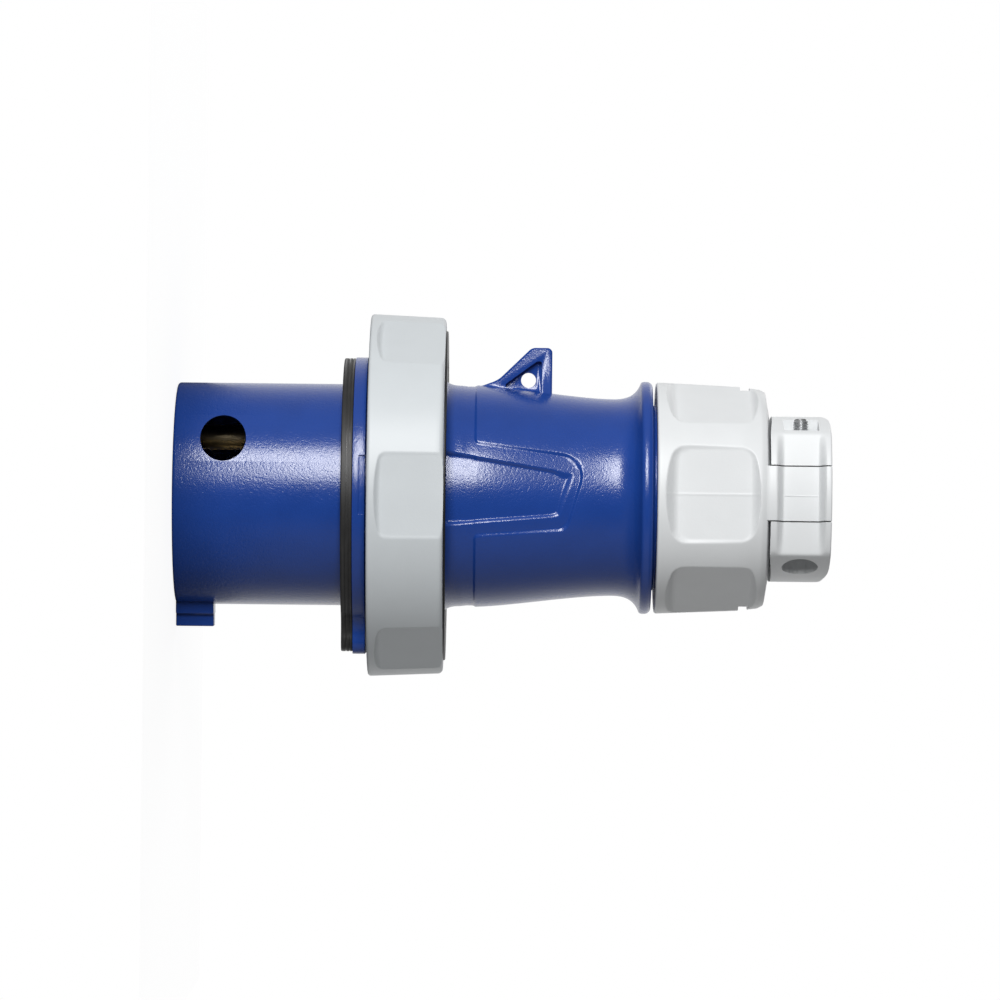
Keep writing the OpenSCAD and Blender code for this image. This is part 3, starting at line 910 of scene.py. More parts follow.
@dataclass
class Handle:
    """The waisted handle, whose grid follows the edges of its tongue and its panel.

    Attributes:
        front: Height of its front end, inside the locking ring.
        seam: Height at which the tongue comes out of the neck.
        seam_end: Height at which it has its full depth.
        back: Height of its back face.
        thread_r: Outer radius of the gland's thread.
        thread: Height at which the thread starts.
        thread_end: Height at which its spigot ends.
        pitch: The thread's pitch.
        tongue_deep: How far the tongue lies below the outside at the seam.
        panel_deep: Least depth of the panel below the tongue.
        panel_floor: Greatest radius of the panel's floor.
        wall: Width of the panel's wall.
        edge: Width of the tongue's edge.
        skin: How far below the outside a vertex still counts as on it.
        waist: Heights between which the rows of the grid lean.
        lean: The slope of these rows, which is that of the panel's and the tongue's ends.
        ear_half: Half of the ear's thickness.
        web_half: Half of the thickness of its web.
    """

    front: float = 61.0
    seam: float = 94.9
    seam_end: float = 96.1
    back: float = 151.8
    thread_r: float = 29.6
    thread: float = 152.2
    thread_end: float = 170.0
    pitch: float = 3.0
    tongue_deep: float = 0.4
    panel_deep: float = 1.0
    panel_floor: float = 34.15
    wall: float = 1.15
    edge: float = 1.2
    skin: float = 0.9
    waist: tuple[float, float] = (99.0, 143.0)
    lean: float = 0.31
    ear_half: float = 4.0
    web_half: float = 1.5

    def rise(self, z: np.ndarray) -> np.ndarray:
        """The share of the step at the seam that is reached at a height."""
        return ease((z - self.seam) / (self.seam_end - self.seam))

    def outside(self) -> list[Point]:
        """The outside's profile from the neck to the thread's end.

        Returns:
            Its points, radius and height.
        """
        curve_a = cubic((35.5, 97), (35.05, 108), (31.55, 128), (31.55, 139.6), 26)
        curve_b = cubic((31.55, 139.6), (31.55, 144.5), (33.2, 146.9), (36.85, 148.3), 14)
        line = [(35.95, self.front), (35.95, 84.5), (37.15, 84.5), (37.3, 84.65), (37.3, 85.45)]
        line += [(37.22, 85.6), *cubic((36.9, 85.9), (35.8, 86.9), (35.4, 88.6), (35.4, 91), 8)]
        before = 35.15
        line += [(35.4, 91.0), (before, 93.0), (before, self.seam)]
        steps = np.linspace(self.seam, self.seam_end, 9)[1:]
        line += [(before + self.tongue_deep * float(self.rise(z)), z) for z in steps]
        line += [*curve_a, *curve_b, (36.85, 148.3), (37.08, 148.62)]
        line += [(37.25, 149.2), (37.25, 150.3), (37.12, 150.8), (36.65, 151.5), (36.25, 151.8)]
        line += [(30.2, self.back), (self.thread_r, 152.4), (self.thread_r, 169.0)]
        line += [(28.6, self.thread_end)]
        return line

    @staticmethod
    def inside() -> list[Point]:
        """The inside's profile from the thread's end to the neck.

        Returns:
            Its points, radius and height.
        """
        return [
            (25, 170), (25, 150.4), (21, 150.4), (21, 147), (27.6, 144), (27.8, 139),
            (29, 128), (31.2, 112), (31.9, 96), (32.4, 88), (32.4, 61),
        ]

    @staticmethod
    def tongue() -> list[Point]:
        """The tongue's outline.

        Returns:
            Its points, height and place across.
        """
        return rounded(
            [
                (90.9, 21.7, 0), (94.9, 20.5, 0), (94.9, 17.6, 2.4), (131.8, 12.9, 7.5),
                (124.9, -10.9, 4), (94.9, -13.1, 2.4), (94.9, -16, 0), (90.9, -17, 0),
            ],
            14,
        )

    @staticmethod
    def panel() -> list[Point]:
        """The recessed panel's outline, height and place across."""
        return rounded([(55, 19.7, 0), (127.4, 7.8, 1.5), (122.7, -6.6, 1.5), (55, -12.4, 0)], 8)

    def section(self) -> list[Point]:
        """The closed section, dense where an edge crosses the handle and on the thread.

        Returns:
            Its points, radius and height.
        """

        def spacing(spot: Point) -> float:
            """How far apart points may be, fine at the panel's end and on the thread.

            Args:
                spot: A place on the section.

            Returns:
                The distance.
            """
            reach, z = spot
            if reach < 31 and (z < self.thread or reach < 28):
                return 12.0
            if z > self.thread:
                return 0.3
            if z < 84.4:
                return 3.0
            if 123.0 < z < 130.2:
                return 0.18
            return 0.8 if 94.9 < z < 99 else 1.5

        return divided([*self.outside(), *self.inside()], spacing)

    @staticmethod
    def knots(z: np.ndarray, reach: np.ndarray) -> list[tuple[int, np.ndarray]]:
        """The columns' stations on one side, from the key's edge to the ear's.

        Args:
            z: The vertices' heights.
            reach: The outside's radius there.

        Returns:
            For each station the columns before it and its angle from -Y towards -X.
        """
        low = np.clip(z, 60, 136)
        band = 1.25
        lines = [
            (25, 4, -13.1 + 0.0733 * (low - 94.9)),
            (3, 3, -12.0 + 0.0861 * (low - 60)),
            (22, 22, 18.9 - 0.1647 * (low - 60)),
            (4, 4, 17.6 - 0.1274 * (low - 94.9)),
        ]
        stations = [(0, np.full(z.shape, -math.pi / 2))]
        for before, _, middle in lines:
            for columns, place in ((before, middle - band), (16, middle + band)):
                stations.append((columns, np.arcsin(np.clip(place / reach, -1, 1))))
        stations.append((23, np.full(z.shape, math.pi / 2)))
        return stations

    def columns(self) -> int:
        """The number of columns on one side."""
        return sum(count for count, _ in self.knots(np.zeros(1), np.ones(1) * 30))

    def angles(self, share: np.ndarray, z: np.ndarray, reach: np.ndarray) -> np.ndarray:
        """The angles of the columns, which follow the edges.

        Args:
            share: How far each vertex is along one side's columns, from 0 to 1.
            z: The vertices' heights.
            reach: The outside's radius there.

        Returns:
            Their angles from -Y or +Y towards -X.
        """
        made = np.zeros(share.shape)
        stations = self.knots(z, reach)
        done = 0
        for (_, low), (count, high) in zip(stations, stations[1:]):
            t = (share * self.columns() - done) / count
            within = (t >= -1e-6) & (t <= 1 + 1e-6)
            made[within] = (low + (high - low) * t)[within]
            done += count
        return made

    def shape(self, spots: np.ndarray) -> np.ndarray:
        """Moves the turned body's vertices to the handle's recessed outside.

        Args:
            spots: The vertices.

        Returns:
            Their new places.
        """
        line = np.array([p for p in self.outside() if p[1] <= self.back])
        line_r, line_z = line[np.argsort(line[:, 1], kind="stable")].T
        reach, z = np.hypot(spots[:, 0], spots[:, 1]), spots[:, 2]
        full = np.interp(np.clip(z, 62, 151), line_z, line_r)
        side = np.where(spots[:, 1] > 1e-6, 1.0, -1.0)
        share = np.arctan2(-spots[:, 0], np.abs(spots[:, 1])) / math.pi + 0.5
        on_waist = (reach > full - self.skin) & (z > self.waist[0]) & (z < self.waist[1])
        across = full * np.sin(self.angles(share, z, full))
        z = np.where(on_waist, self.leant(across, z), z)
        full = np.where(on_waist, np.interp(z, line_z, line_r), full)
        reach = np.where(on_waist, full, reach)
        angle = self.angles(share, z, full)
        outer = (reach > full - self.skin) & (z < 147)
        reach = np.where(outer, self.pressed(reach, full * np.sin(angle), z, full), reach)
        on_thread = (z > self.thread) & (reach > self.thread_r - 0.3)
        reach = np.where(on_thread, reach - self.groove(angle, side, z), reach)
        return np.stack([-reach * np.sin(angle), side * reach * np.cos(angle), z], 1)

    def leant(self, across: np.ndarray, z: np.ndarray) -> np.ndarray:
        """The waist's rows, leaning on the tongue and level again towards the ear and the key.

        Args:
            across: The vertices' places across.
            z: Their heights.

        Returns:
            Their new heights.
        """
        slope = self.lean * ease((z - 100) / 16) * (1 - ease((z - 132) / 9))
        return z + slope * (np.clip(across, -14, 15) * (1 - ease((np.abs(across) - 17) / 12)))

    def pressed(
        self, reach: np.ndarray, across: np.ndarray, z: np.ndarray, full: np.ndarray
    ) -> np.ndarray:
        """The outside with the tongue and the panel pressed in.

        Args:
            reach: The vertices' radius.
            across: Their places across.
            z: Their heights.
            full: The outside's radius there.

        Returns:
            Their new radius.
        """
        step = inside_distance(self.tongue(), z, across)
        tongue_deep = self.tongue_deep + 0.3 * ease((z - 105) / 25)
        made = reach - tongue_deep * self.rise(z) * ease((step + 0.1) / self.edge)
        wall = self.wall + 1.05 * ease((z - 119.5) / 4)
        t = np.clip(inside_distance(self.panel(), z, across) / wall, 0, 1)
        plain = full - self.tongue_deep * self.rise(z)
        floor = np.minimum(self.panel_floor, plain - self.panel_deep)
        return np.where(made > floor, made + (floor - made) * (t * t * (1.6 - 0.6 * t)), made)

    def groove(self, angle: np.ndarray, side: np.ndarray, z: np.ndarray) -> np.ndarray:
        """The depth of the thread's groove.

        Args:
            angle: The vertices' angles from -Y or +Y towards -X.
            side: -1 for those on -Y's side and 1 for the others.
            z: Their heights.

        Returns:
            The depths.
        """
        way = np.where(side < 0, angle, math.pi - angle) / (2 * math.pi)
        wave = np.abs(((z / self.pitch + way) % 1) * 2 - 1)
        fade = ease((z - 153) / 1.5) * ease((169.2 - z) / 1.2)
        return 1.1 * fade * ease(wave * 1.5 - 0.35)

    def ear(self) -> bpy.types.Object:
        """The ear, a rim round a thin web with a hole.

        Returns:
            The piece.
        """
        side = Matrix(((0, -1, 0), (0, 0, -1), (1, 0, 0)))
        outline = rounded(
            [
                (95.6, 31.4, 0), (96.0, 34.9, 0.6), (102.5, 37.3, 9), (113.2, 47.7, 3),
                (119.75, 47.7, 1.6), (119.75, 29.5, 0),
            ],
            9,
        )
        made = Bench.plate("ear", outline, -self.ear_half, self.ear_half, side)
        Bench.soften(made, 1.0, 1)
        pocket = rounded(
            [(103.6, 35.1, 0.8), (114.9, 43.4, 0.9), (116.4, 43.4, 0.7), (116.4, 33.2, 0.4)], 6
        )
        past = self.ear_half + 2
        for low, high in ((self.web_half, past), (-past, -self.web_half)):
            Bench.cut(made, Bench.plate("pocket", pocket, low, high, side))
        hole = Bench.rod("hole", (-37.3, -9, 112.2), (0, 1, 0), 2.4, 18, 48)
        Bench.cut(made, hole)
        Bench.soften(made, 0.25, 3, 25)
        return made

    def build(self) -> None:
        """Builds the handle and dresses it."""
        handle = Bench.spin("waisted_handle", self.section(), 2 * self.columns())
        Bench.place(handle, self.shape(Bench.places(handle)))
        Bench.smooth(handle, 48)
        ear = self.ear()
        Bench.smooth(ear, 40)
        Bench.cut(handle, ear, Cut.ONTO)
        Bench.hand_over(handle, Finishes.BLUE, Body.PLUG, "blue_housing", "handle_body")


@dataclass
class SleeveHousing:
    """The sleeve with its key rib and interlock hole, the lobed flange and the spigot.

    Attributes:
        radius: The sleeve's outer radius.
        inside: Its inner radius.
        ledge: Height of the ledge on which the carrier sits.
        flange: Height of the flange's front.
        thick: The flange's thickness.
        flange_r: Radius of the flange's disc.
        lobe: How far its lobe reaches.
        lobe_half: Half of the lobe's width.
        lobe_fillet: Radius of the fillets beside the lobe.
        lobe_corner: Radius of the lobe's corners.
        spigot: The spigot's outer radius.
        spigot_in: Its inner radius.
        spigot_end: Height of its end.
        gasket: The gasket's thickness.
        hole_r: Radius of the interlock hole.
        hole_z: Its height.
        hole_across: Its distance from the axis towards -X.
        notches: Angles at which the bayonet's notches start, in degrees.
        notch_span: How far each goes round, in degrees.
        steps: The number of steps round the sleeve.
    """

    radius: float = 35.5
    inside: float = 32.3
    ledge: float = 52.0
    flange: float = 57.0
    thick: float = 3.9
    flange_r: float = 44.1
    lobe: float = 50.7
    lobe_half: float = 17.5
    lobe_fillet: float = 7.5
    lobe_corner: float = 4.5
    spigot: float = 32.25
    spigot_in: float = 29.2
    spigot_end: float = 74.0
    gasket: float = 3.7
    hole_r: float = 7.25
    hole_z: float = 15.8
    hole_across: float = 17.5
    notches: tuple[float, float] = (253.6, 82.0)
    notch_span: float = 24.4
    steps: int = 240

    def lobed(self, radius: float, reach: float, half: float) -> list[Point]:
        """The outline of a disc that runs with a fillet into a lobe to +X.

        Args:
            radius: The disc's radius.
            reach: How far the lobe goes.
            half: Half of its width.

        Returns:
            The outline.
        """
        fillet = self.lobe_fillet
        middle = math.sqrt((radius + fillet) ** 2 - (half + fillet) ** 2)
        start = math.asin((half + fillet) / (radius + fillet))
        curve = []
        for i in range(13):
            way = math.pi - start + (start - math.pi / 2) * i / 12
            curve.append((middle + fillet * math.cos(way), -half - fillet + fillet * math.sin(way)))
        corner_in, corner_out = (reach, -half), (reach, half)
        lobe = arc_corner((middle, -half), corner_in, corner_out, self.lobe_corner, 12)
        side = [*curve, *lobe]
        steps = 150
        span = 2 * math.pi - 2 * start
        angles = [start + span * i / steps for i in range(1, steps)]
        disc = [(radius * math.cos(a), radius * math.sin(a)) for a in angles]
        return [*side, *[(x, -y) for x, y in reversed(side)], *disc]

    def section(self) -> list[Point]:
        """The closed section of the sleeve and the spigot.

        Returns:
            Its points, radius and height.
        """
        groove = 30.25
        return rounded(
            [
                (self.inside, 0, 0.6), (self.radius, 0, 0.9), (self.radius, self.flange + 1, 0),
                (self.spigot, self.flange + 1, 0), (self.spigot, 65.6, 0.1), (groove, 65.6, 0.1),
                (groove, 68.4, 0.1), (self.spigot, 68.4, 0.1), (self.spigot, self.spigot_end, 0.8),
                (self.spigot_in, self.spigot_end, 0.4), (self.spigot_in, self.ledge, 0.1),
                (self.inside, self.ledge, 0.1),
            ],
            5,
        )

    def key(self) -> bpy.types.Object:
        """The key rib, a foot and a narrower crest.

        Returns:
            The piece.
        """
        foot = [(33.5, -6.6), (38.6, -6.3), (38.6, 6.3), (33.5, 6.6)]
        crest = [(33.5, -4.4), (42.6, -4.1), (42.6, 4.1), (33.5, 4.4)]
        front, back = 0.1, 12.2
        made = Bench.plate("key", foot, front, back)
        Bench.cut(made, Bench.plate("crest", crest, front, back), Cut.ONTO)
        Bench.soften(made, 0.4, 4)
        return made

    def build(self) -> None:
        """Builds the housing and its gasket, and dresses them."""
        housing = Bench.spin("sleeve_and_flange", self.section(), self.steps)
        outline = self.lobed(self.flange_r, self.lobe, self.lobe_half)
        flange = Bench.plate("flange", outline, self.flange, self.flange + self.thick)
        edge = [(43.5, 58.95), (PAST_SIDE, 58.95), (PAST_SIDE, 70), (43.5, 70)]
        for start in self.notches:
            Bench.cut(flange, Bench.sweep("notch", edge, start, self.notch_span, 12))
        Bench.cut(flange, Bench.rod("way", (0, 0, 50), (0, 0, 1), 31, 20, 120))
        Bench.soften(flange, 0.4, 4)
        Bench.cut(housing, flange, Cut.ONTO)
        Bench.cut(housing, self.key(), Cut.ONTO)
        start = (-self.hole_across, 0, self.hole_z)
        Bench.cut(housing, Bench.rod("hole", start, (0, -1, 0), self.hole_r, 60, 96))
        Bench.smooth(housing, 34)
        Bench.hand_over(housing, Finishes.BLUE, Body.PLUG, "blue_housing", "sleeve_housing")
        low = self.flange - self.gasket
        seal = Bench.plate("gasket", self.lobed(43.8, 49.9, self.lobe_half - 0.4), low, self.flange)
        Bench.cut(seal, Bench.rod("way", (0, 0, 40), (0, 0, 1), self.radius, 40, self.steps))
        Bench.soften(seal, 0.5, 4)
        for start in (low + 1.35, low + 2.55):
            groove = Bench.plate("groove", self.lobed(46, 53, self.lobe_half + 2), start, start + 0.35)
            core = self.lobed(43.4, 49.5, self.lobe_half - 0.8)
            Bench.cut(groove, Bench.plate("core", core, start - 1, start + 2))
            Bench.cut(seal, groove)
        Bench.smooth(seal, 34)
        Bench.hand_over(seal, Finishes.RUBBER, Body.PLUG, "black_rubber", "flange_gasket")


@dataclass
class LockingRing:
    """The bayonet ring: a cup with six grip flats, a back wall and two bayonet ramps.

    Attributes:
        front: Height of its front.
        length: Its length.
        reach: Its outer radius at the front.
        draft: How much smaller that radius is at the back.
        bore: Its inner radius.
        hub: Radius of the back wall's hole.
        wall: Height of the back wall's front.
        plate: Height of the back wall's back.
        ramp_in: Inner radius of the bayonet ramps.
        ramp_span: How far each goes round, in degrees.
        ramp_angles: Angles of their middles, in degrees.
        ramp_steps: The number of steps in each.
        ramp_rise: The rise of each step.
        flat_level: The flats' distance from the axis, as a share of the radius.
        steps: The number of steps round the ring.
    """

    front: float = 61.7
    length: float = 24.0
    reach: float = 58.06
    draft: float = 1.06
    bore: float = 53.0
    hub: float = 41.28
    wall: float = 81.0
    plate: float = 83.7
    ramp_in: float = 46.2
    ramp_span: float = 32.0
    ramp_angles: tuple[float, float] = (100.0, 280.0)
    ramp_steps: int = 3
    ramp_rise: float = 0.7
    flat_level: float = 0.969
    steps: int = 720

    def section(self) -> list[Point]:
        """The ring's closed section, dense where the flats end.

        Returns:
            Its points, radius and height.
        """
        back = self.front + self.length
        corners = [
            (self.bore, self.front, 0.5),
            (self.reach, self.front, 1.0),
            (self.reach - self.draft, back, 1.6),
            (self.bore, back, 0.35),
            (self.bore, self.plate, 0.0),
            (self.hub, self.plate, 0.25),
            (self.hub, self.wall, 0.25),
            (self.bore, self.wall, 0.9),
        ]

        def spacing(spot: Point) -> float:
            """Fine along the front of the flats, wide inside."""
            outside = spot[0] > self.bore + 2
            return 0.2 if outside and 63.2 < spot[1] < 67.2 else 1.4 if outside else 8.0

        return divided(rounded(corners, 5), spacing)

    def ramp(self, angle: float) -> bpy.types.Object:
        """One bayonet ramp of rising steps.

        Args:
            angle: The angle of its middle, in degrees.

        Returns:
            The piece.
        """
        share = self.ramp_span / self.ramp_steps
        reach, low = self.bore + 1, self.front + 0.8
        steps = []
        for step in range(self.ramp_steps):
            high = self.front + 4.2 + self.ramp_rise * step
            corners = [
                (self.ramp_in, low, 0.3), (reach, low, 0), (reach, high, 0), (self.ramp_in, high, 0.3),
            ]
            start = angle - self.ramp_span / 2 + share * step
            steps.append(Bench.sweep("ramp", rounded(corners, 3), start, share + 0.3, 10))
        for step in steps[1:]:
            Bench.cut(steps[0], step, Cut.ONTO)
        return steps[0]

    def build(self) -> None:
        """Builds the ring and dresses it."""
        ring = Bench.spin("bayonet_locking_ring", self.section(), self.steps)
        spots = Bench.places(ring)
        flats = GripFlats(
            count=6,
            near=self.flat_level * self.reach,
            far=self.flat_level * (self.reach - self.draft * 1.25),
            front=self.front + 2.9,
            back=self.front + self.length + 8,
            half=14.2,
            corner=3.0,
            cove=1.4,
            bow=0.6,
            blend=0.12,
        )
        outer = np.hypot(spots[:, 0], spots[:, 1]) > self.bore + 1.5
        Bench.place(ring, flats.press(spots, outer))
        Bench.cut(ring, Bench.together(*map(self.ramp, self.ramp_angles)), Cut.ONTO)
        Bench.smooth(ring, 40)
        Bench.hand_over(ring, Finishes.RING, Body.RING, "ring_grey", "locking_ring")


@dataclass
class GlandNut:
    """The nut with its six flats and the two arms that hold the jaws.

    Attributes:
        front: Height of its front.
        back: Height of its back where the dome starts.
        reach: Its greatest radius.
        bore: Radius of its thread's bore.
        seat: Radius of the thrust ring's seat.
        seat_front: Height at which that seat starts.
        wall: Height of the inside of its back wall.
        hole: Radius of the cable's hole.
        dome: How far the back bulges out at that hole.
        turn: Turn of the nut about the axis, in degrees.
        notch_in: Distance of the notches' floor from the axis.
        notch_half: Half of their width.
        notch: Where they start and end behind the front.
        steps: The number of steps round the nut.
    """

    front: float = 153.1
    back: float = 188.1
    reach: float = 37.1
    bore: float = 29.8
    seat: float = 25.4
    seat_front: float = 174.0
    wall: float = 184.0
    hole: float = 19.0
    dome: float = 2.4
    turn: float = -2.3
    notch_in: float = 34.5
    notch_half: float = 6.5
    notch: tuple[float, float] = (26.9, 30.0)
    steps: int = 600

    def section(self) -> list[Point]:
        """The nut's closed section, dense where the flats end.

        Returns:
            Its points, radius and height.
        """
        corners = [
            (self.bore, self.front, 0.6),
            (self.reach, self.front, 0.8),
            (self.reach - 1.2, self.front + 26.9, 18.0),
            (self.reach - 2.0, self.front + 33.1, 3.0),
            (self.reach - 2.9, self.back - 0.1, 1.0),
            (self.hole, self.back + self.dome, 0.6),
            (self.hole, self.wall, 0.3),
            (self.seat, self.wall, 0.3),
            (self.seat, self.seat_front, 0.3),
            (self.bore, self.seat_front, 0.3),
        ]

        def spacing(spot: Point) -> float:
            """How far apart points may be, fine along the ends of the flats.

            Args:
                spot: A place on the section.

            Returns:
                The distance.
            """
            outside = spot[0] > self.bore + 3.2
            ends = 155.2 < spot[1] < 160.6 or 180.6 < spot[1] < 186.6
            return 0.28 if outside and ends else 1.4 if outside else 5.0

        return divided(rounded(corners, 5), spacing)

    def build(self, clamp: "ClampForm") -> None:
        """Builds the nut with the clamp's arms and dresses it.

        Args:
            clamp: The form that the arms share with the jaws.
        """
        nut = Bench.spin("gland_nut_with_arms", self.section(), self.steps)
        spots = Bench.places(nut)
        flats = GripFlats(
            count=6,
            near=33.3,
            far=32.65,
            front=self.front + 4.5,
            back=self.back - 3.4,
            half=16.6,
            corner=5.0,
            cove=2.2,
            steep=1.25,
            bow=0.3,
            spread=2.3,
            lift=0.35,
            draft=0.012,
            blend=0.12,
        )
        outer = np.hypot(spots[:, 0], spots[:, 1]) > 32.6
        Bench.place(nut, flats.press(spots, outer))
        low, high = (self.front + z for z in self.notch)
        for side in (-1, 1):
            one = (side * self.notch_in, -self.notch_half, low)
            other = (side * PAST_SIDE, self.notch_half, high)
            Bench.cut(nut, Bench.block("notch", one, other))
        Bench.smooth(nut, 40)
        arms = clamp.arms(self.back - 0.6)
        Bench.smooth(arms, 40)
        Bench.turn(arms, clamp.turn - self.turn)
        Bench.cut(nut, arms, Cut.ONTO)
        Bench.turn(nut, self.turn)
        Bench.hand_over(nut, Finishes.NUT, Body.GLAND, "nut_grey", "gland_nut")


@dataclass
class ClampForm:
    """The outside that the nut's arms and the two jaws share, and the pieces cut from it.

    Attributes:
        half: Half of its height, across the jaws.
        round_r: Radius of its rounded sides.
        arc: Radius of the flatter arcs on the jaws.
        end: Height of its end.
        end_r: Radius of the jaws' rounding at the end.
        front: Height at which the jaws start.
        recess_off: Distance of the side recesses' floor from the axis.
        recess_arc: Radius of that floor.
        recess: Heights between which the recesses lie.
        recess_wall: Length of their sloping walls.
        arm_half: Half of the arms' width.
        arm_in: Distance of the arms' inside from the axis.
        rib: Heights between which the arms' guide ribs lie.
        rib_high: How far the ribs stand out from the arms.
        rib_room: The room round a rib in its slot.
        seam: Where the arms' seam starts and ends across.
        seam_high: How far the seam stands out.
        grip: Radius of the jaws' grip on the cable.
        parting: Half of the gap between the jaws.
        screw_off: Distance of the screws from the axis.
        screw_z: Height of the screws.
        screw_hole: Radius of their holes.
        pocket: Radius of the pockets for their heads, and half of the windows' length.
        window_half: Half of the windows' height.
        window_floor: Place of the windows' floor along X.
        nut_floor: Place of the nuts' seats along X.
        nut_r: Radius of the nuts, to the corners.
        nut_high: Height of the nuts.
        turn: Turn of the clamp about the axis, in degrees.
    """

    half: float = 26.45
    round_r: float = 34.4
    arc: float = 60.0
    end: float = 208.19
    end_r: float = 3.6
    front: float = 188.9
    recess_off: float = 30.1
    recess_arc: float = 100.0
    recess: tuple[float, float] = (190.6, 206.6)
    recess_wall: float = 2.6
    arm_half: float = 8.6
    arm_in: float = 26.5
    rib: tuple[float, float] = (196.5, 200.5)
    rib_high: float = 1.9
    rib_room: float = 0.3
    seam: tuple[float, float] = (0.56, 0.84)
    seam_high: float = 0.08
    grip: float = 14.5
    parting: float = 0.6
    screw_off: float = 20.5
    screw_z: float = 198.75
    screw_hole: float = 2.8
    pocket: float = 5.75
    window_half: float = 5.6
    window_floor: float = -19.0
    nut_floor: float = -18.2
    nut_r: float = 4.6
    nut_high: float = 4.0
    turn: float = -3.4

    def outline(self, way: np.ndarray) -> np.ndarray:
        """The form's radius, a circle between two flatter arcs.

        Args:
            way: Angles from +X, in radians.

        Returns:
            The radius at each of them.
        """
        off = self.arc - self.half
        lean = off * np.abs(np.cos(way))
        arc = -lean + np.sqrt(lean**2 - off**2 + self.arc**2)
        return soft_least(arc, np.full(way.shape, self.round_r), 0.9)

    def recessed(self, way: np.ndarray, z: np.ndarray) -> np.ndarray:
        """The form's radius with the curved floors and sloping walls of the side recesses.

        Args:
            way: Angles from +X, in radians.
            z: Heights.

        Returns:
            The radius at each of them.
        """
        low, high = self.recess
        share = ease(np.minimum(z - low, high - z) / self.recess_wall)
        off = self.recess_arc - self.recess_off
        side = off * np.abs(np.sin(way))
        bottom = -side + np.sqrt(side**2 - off**2 + self.recess_arc**2)
        outside = self.outline(way)
        return outside - share * (outside - soft_least(outside, bottom, 0.35))

    def block(self, low: float) -> bpy.types.Object:
        """The whole form with its side recesses.

        Args:
            low: The height at which it starts.

        Returns:
            The piece.
        """
        inner, outer = 12.0, 30.0

        def spacing(spot: Point) -> float:
            """How far apart points may be, fine where the recesses and the form end.

            Args:
                spot: A place on the section.

            Returns:
                The distance.
            """
            if spot[0] < outer - 1:
                return 12.0
            return 0.3 if 190 < spot[1] < 193.5 or spot[1] > 203.8 else 1.2

        corners = [(inner, low, 0), (outer, low, 0), (outer, self.end, 0.5), (inner, self.end, 0)]
        made = Bench.spin("clamp", divided(rounded(corners, 4), spacing), 480)
        spots = Bench.places(made)
        x, y, z = spots.T
        reach = np.hypot(x, y)
        way = np.arctan2(y, x)
        bend = np.clip(z - (self.end - self.end_r), 0, self.end_r)
        wide = self.half + 0.1 - self.end_r + np.sqrt(self.end_r**2 - bend**2)
        least = soft_least(self.recessed(way, z), wide / np.maximum(np.abs(np.cos(way)), 0.02), 0.35)
        least = inner + (reach - inner) * (least - inner) / (outer - inner)
        spots[:, 0], spots[:, 1] = least * np.cos(way), least * np.sin(way)
        Bench.place(made, spots)
        return made

    def arms(self, low: float) -> bpy.types.Object:
        """The two arms of the nut with their guide ribs and their seams.

        Args:
            low: The height at which they start.

        Returns:
            The piece.
        """
        made = self.block(low)
        wide, start = self.arm_half, low - 5
        middle = (-PAST_SIDE, -self.arm_in, start), (PAST_SIDE, self.arm_in, PAST_END)
        Bench.cut(made, Bench.block("middle", *middle))
        for side in (-1, 1):
            beside = (side * wide, -PAST_SIDE, start), (side * PAST_SIDE, PAST_SIDE, PAST_END)
            Bench.cut(made, Bench.block("beside", *beside))
            inner, outer = side * (self.arm_in - self.rib_high), side * (self.arm_in + 0.5)
            rib = (-wide, inner, self.rib[0]), (wide, outer, self.rib[1])
            Bench.cut(made, Bench.block("rib", *rib), Cut.ONTO)
            inner, outer = side * (self.recess_off - 1), side * (self.recess_off + self.seam_high)
            seam = (self.seam[0], inner, 191.5), (self.seam[1], outer, 206)
            Bench.cut(made, Bench.block("seam", *seam), Cut.ONTO)
        Bench.soften(made, 0.3, 3)
        return made

    def rod(self, side: int, near: float, far: float, radius: float, sides: int = 48) -> bpy.types.Object:
        """A rod along X at a clamp screw's place.

        Args:
            side: -1 for the near screw and 1 for the far one.
            near: Where it starts along X.
            far: Where it ends along X.
            radius: Its radius.
            sides: Its number of sides.

        Returns:
            The rod.
        """
        start = (near, side * self.screw_off, self.screw_z)
        return Bench.rod("rod", start, (1, 0, 0), radius, far - near, sides)

    def jaw(self, name: str) -> bpy.types.Object:
        """The jaw on the -X side before its screw holes.

        Args:
            name: The piece's name.

        Returns:
            The piece.
        """
        made = self.block(self.front)
        parting, inner, deep = self.parting, self.arm_in - 0.3, self.arm_half + 0.4
        away = [
            (-deep, -PAST_SIDE), (-deep, -inner), (-parting, -inner), (-parting, inner),
            (-deep, inner), (-deep, PAST_SIDE), (PAST_SIDE, PAST_SIDE), (PAST_SIDE, -PAST_SIDE),
        ]
        Bench.cut(made, Bench.plate("away", away, 150, PAST_END))
        grip = [(0.0, 170), (self.grip, 170)]
        for low in (self.front + 3.4, self.front + 8.4, self.front + 13.4):
            wide, high = self.grip + 1.2, low + 2.6
            grip += [(self.grip, low), (wide, low), (wide, high), (self.grip, high)]
        grip += [(self.grip, PAST_END), (0.0, PAST_END)]
        Bench.cut(made, Bench.spin("grip", grip, 96))
        dome = [(0.0, 180), (PAST_SIDE, 180), (34.4, self.front), (0.0, self.front + 5.4)]
        Bench.cut(made, Bench.spin("dome", dome, 96))
        low, high = self.rib[0] - self.rib_room, self.rib[1] + self.rib_room
        for side in (-1, 1):
            inner = side * (self.arm_in - self.rib_high - self.rib_room)
            slot = (-deep - 0.01, inner, low), (0, side * (self.arm_in + 0.01), high)
            Bench.cut(made, Bench.block("slot", *slot))
        made.name = name
        return made

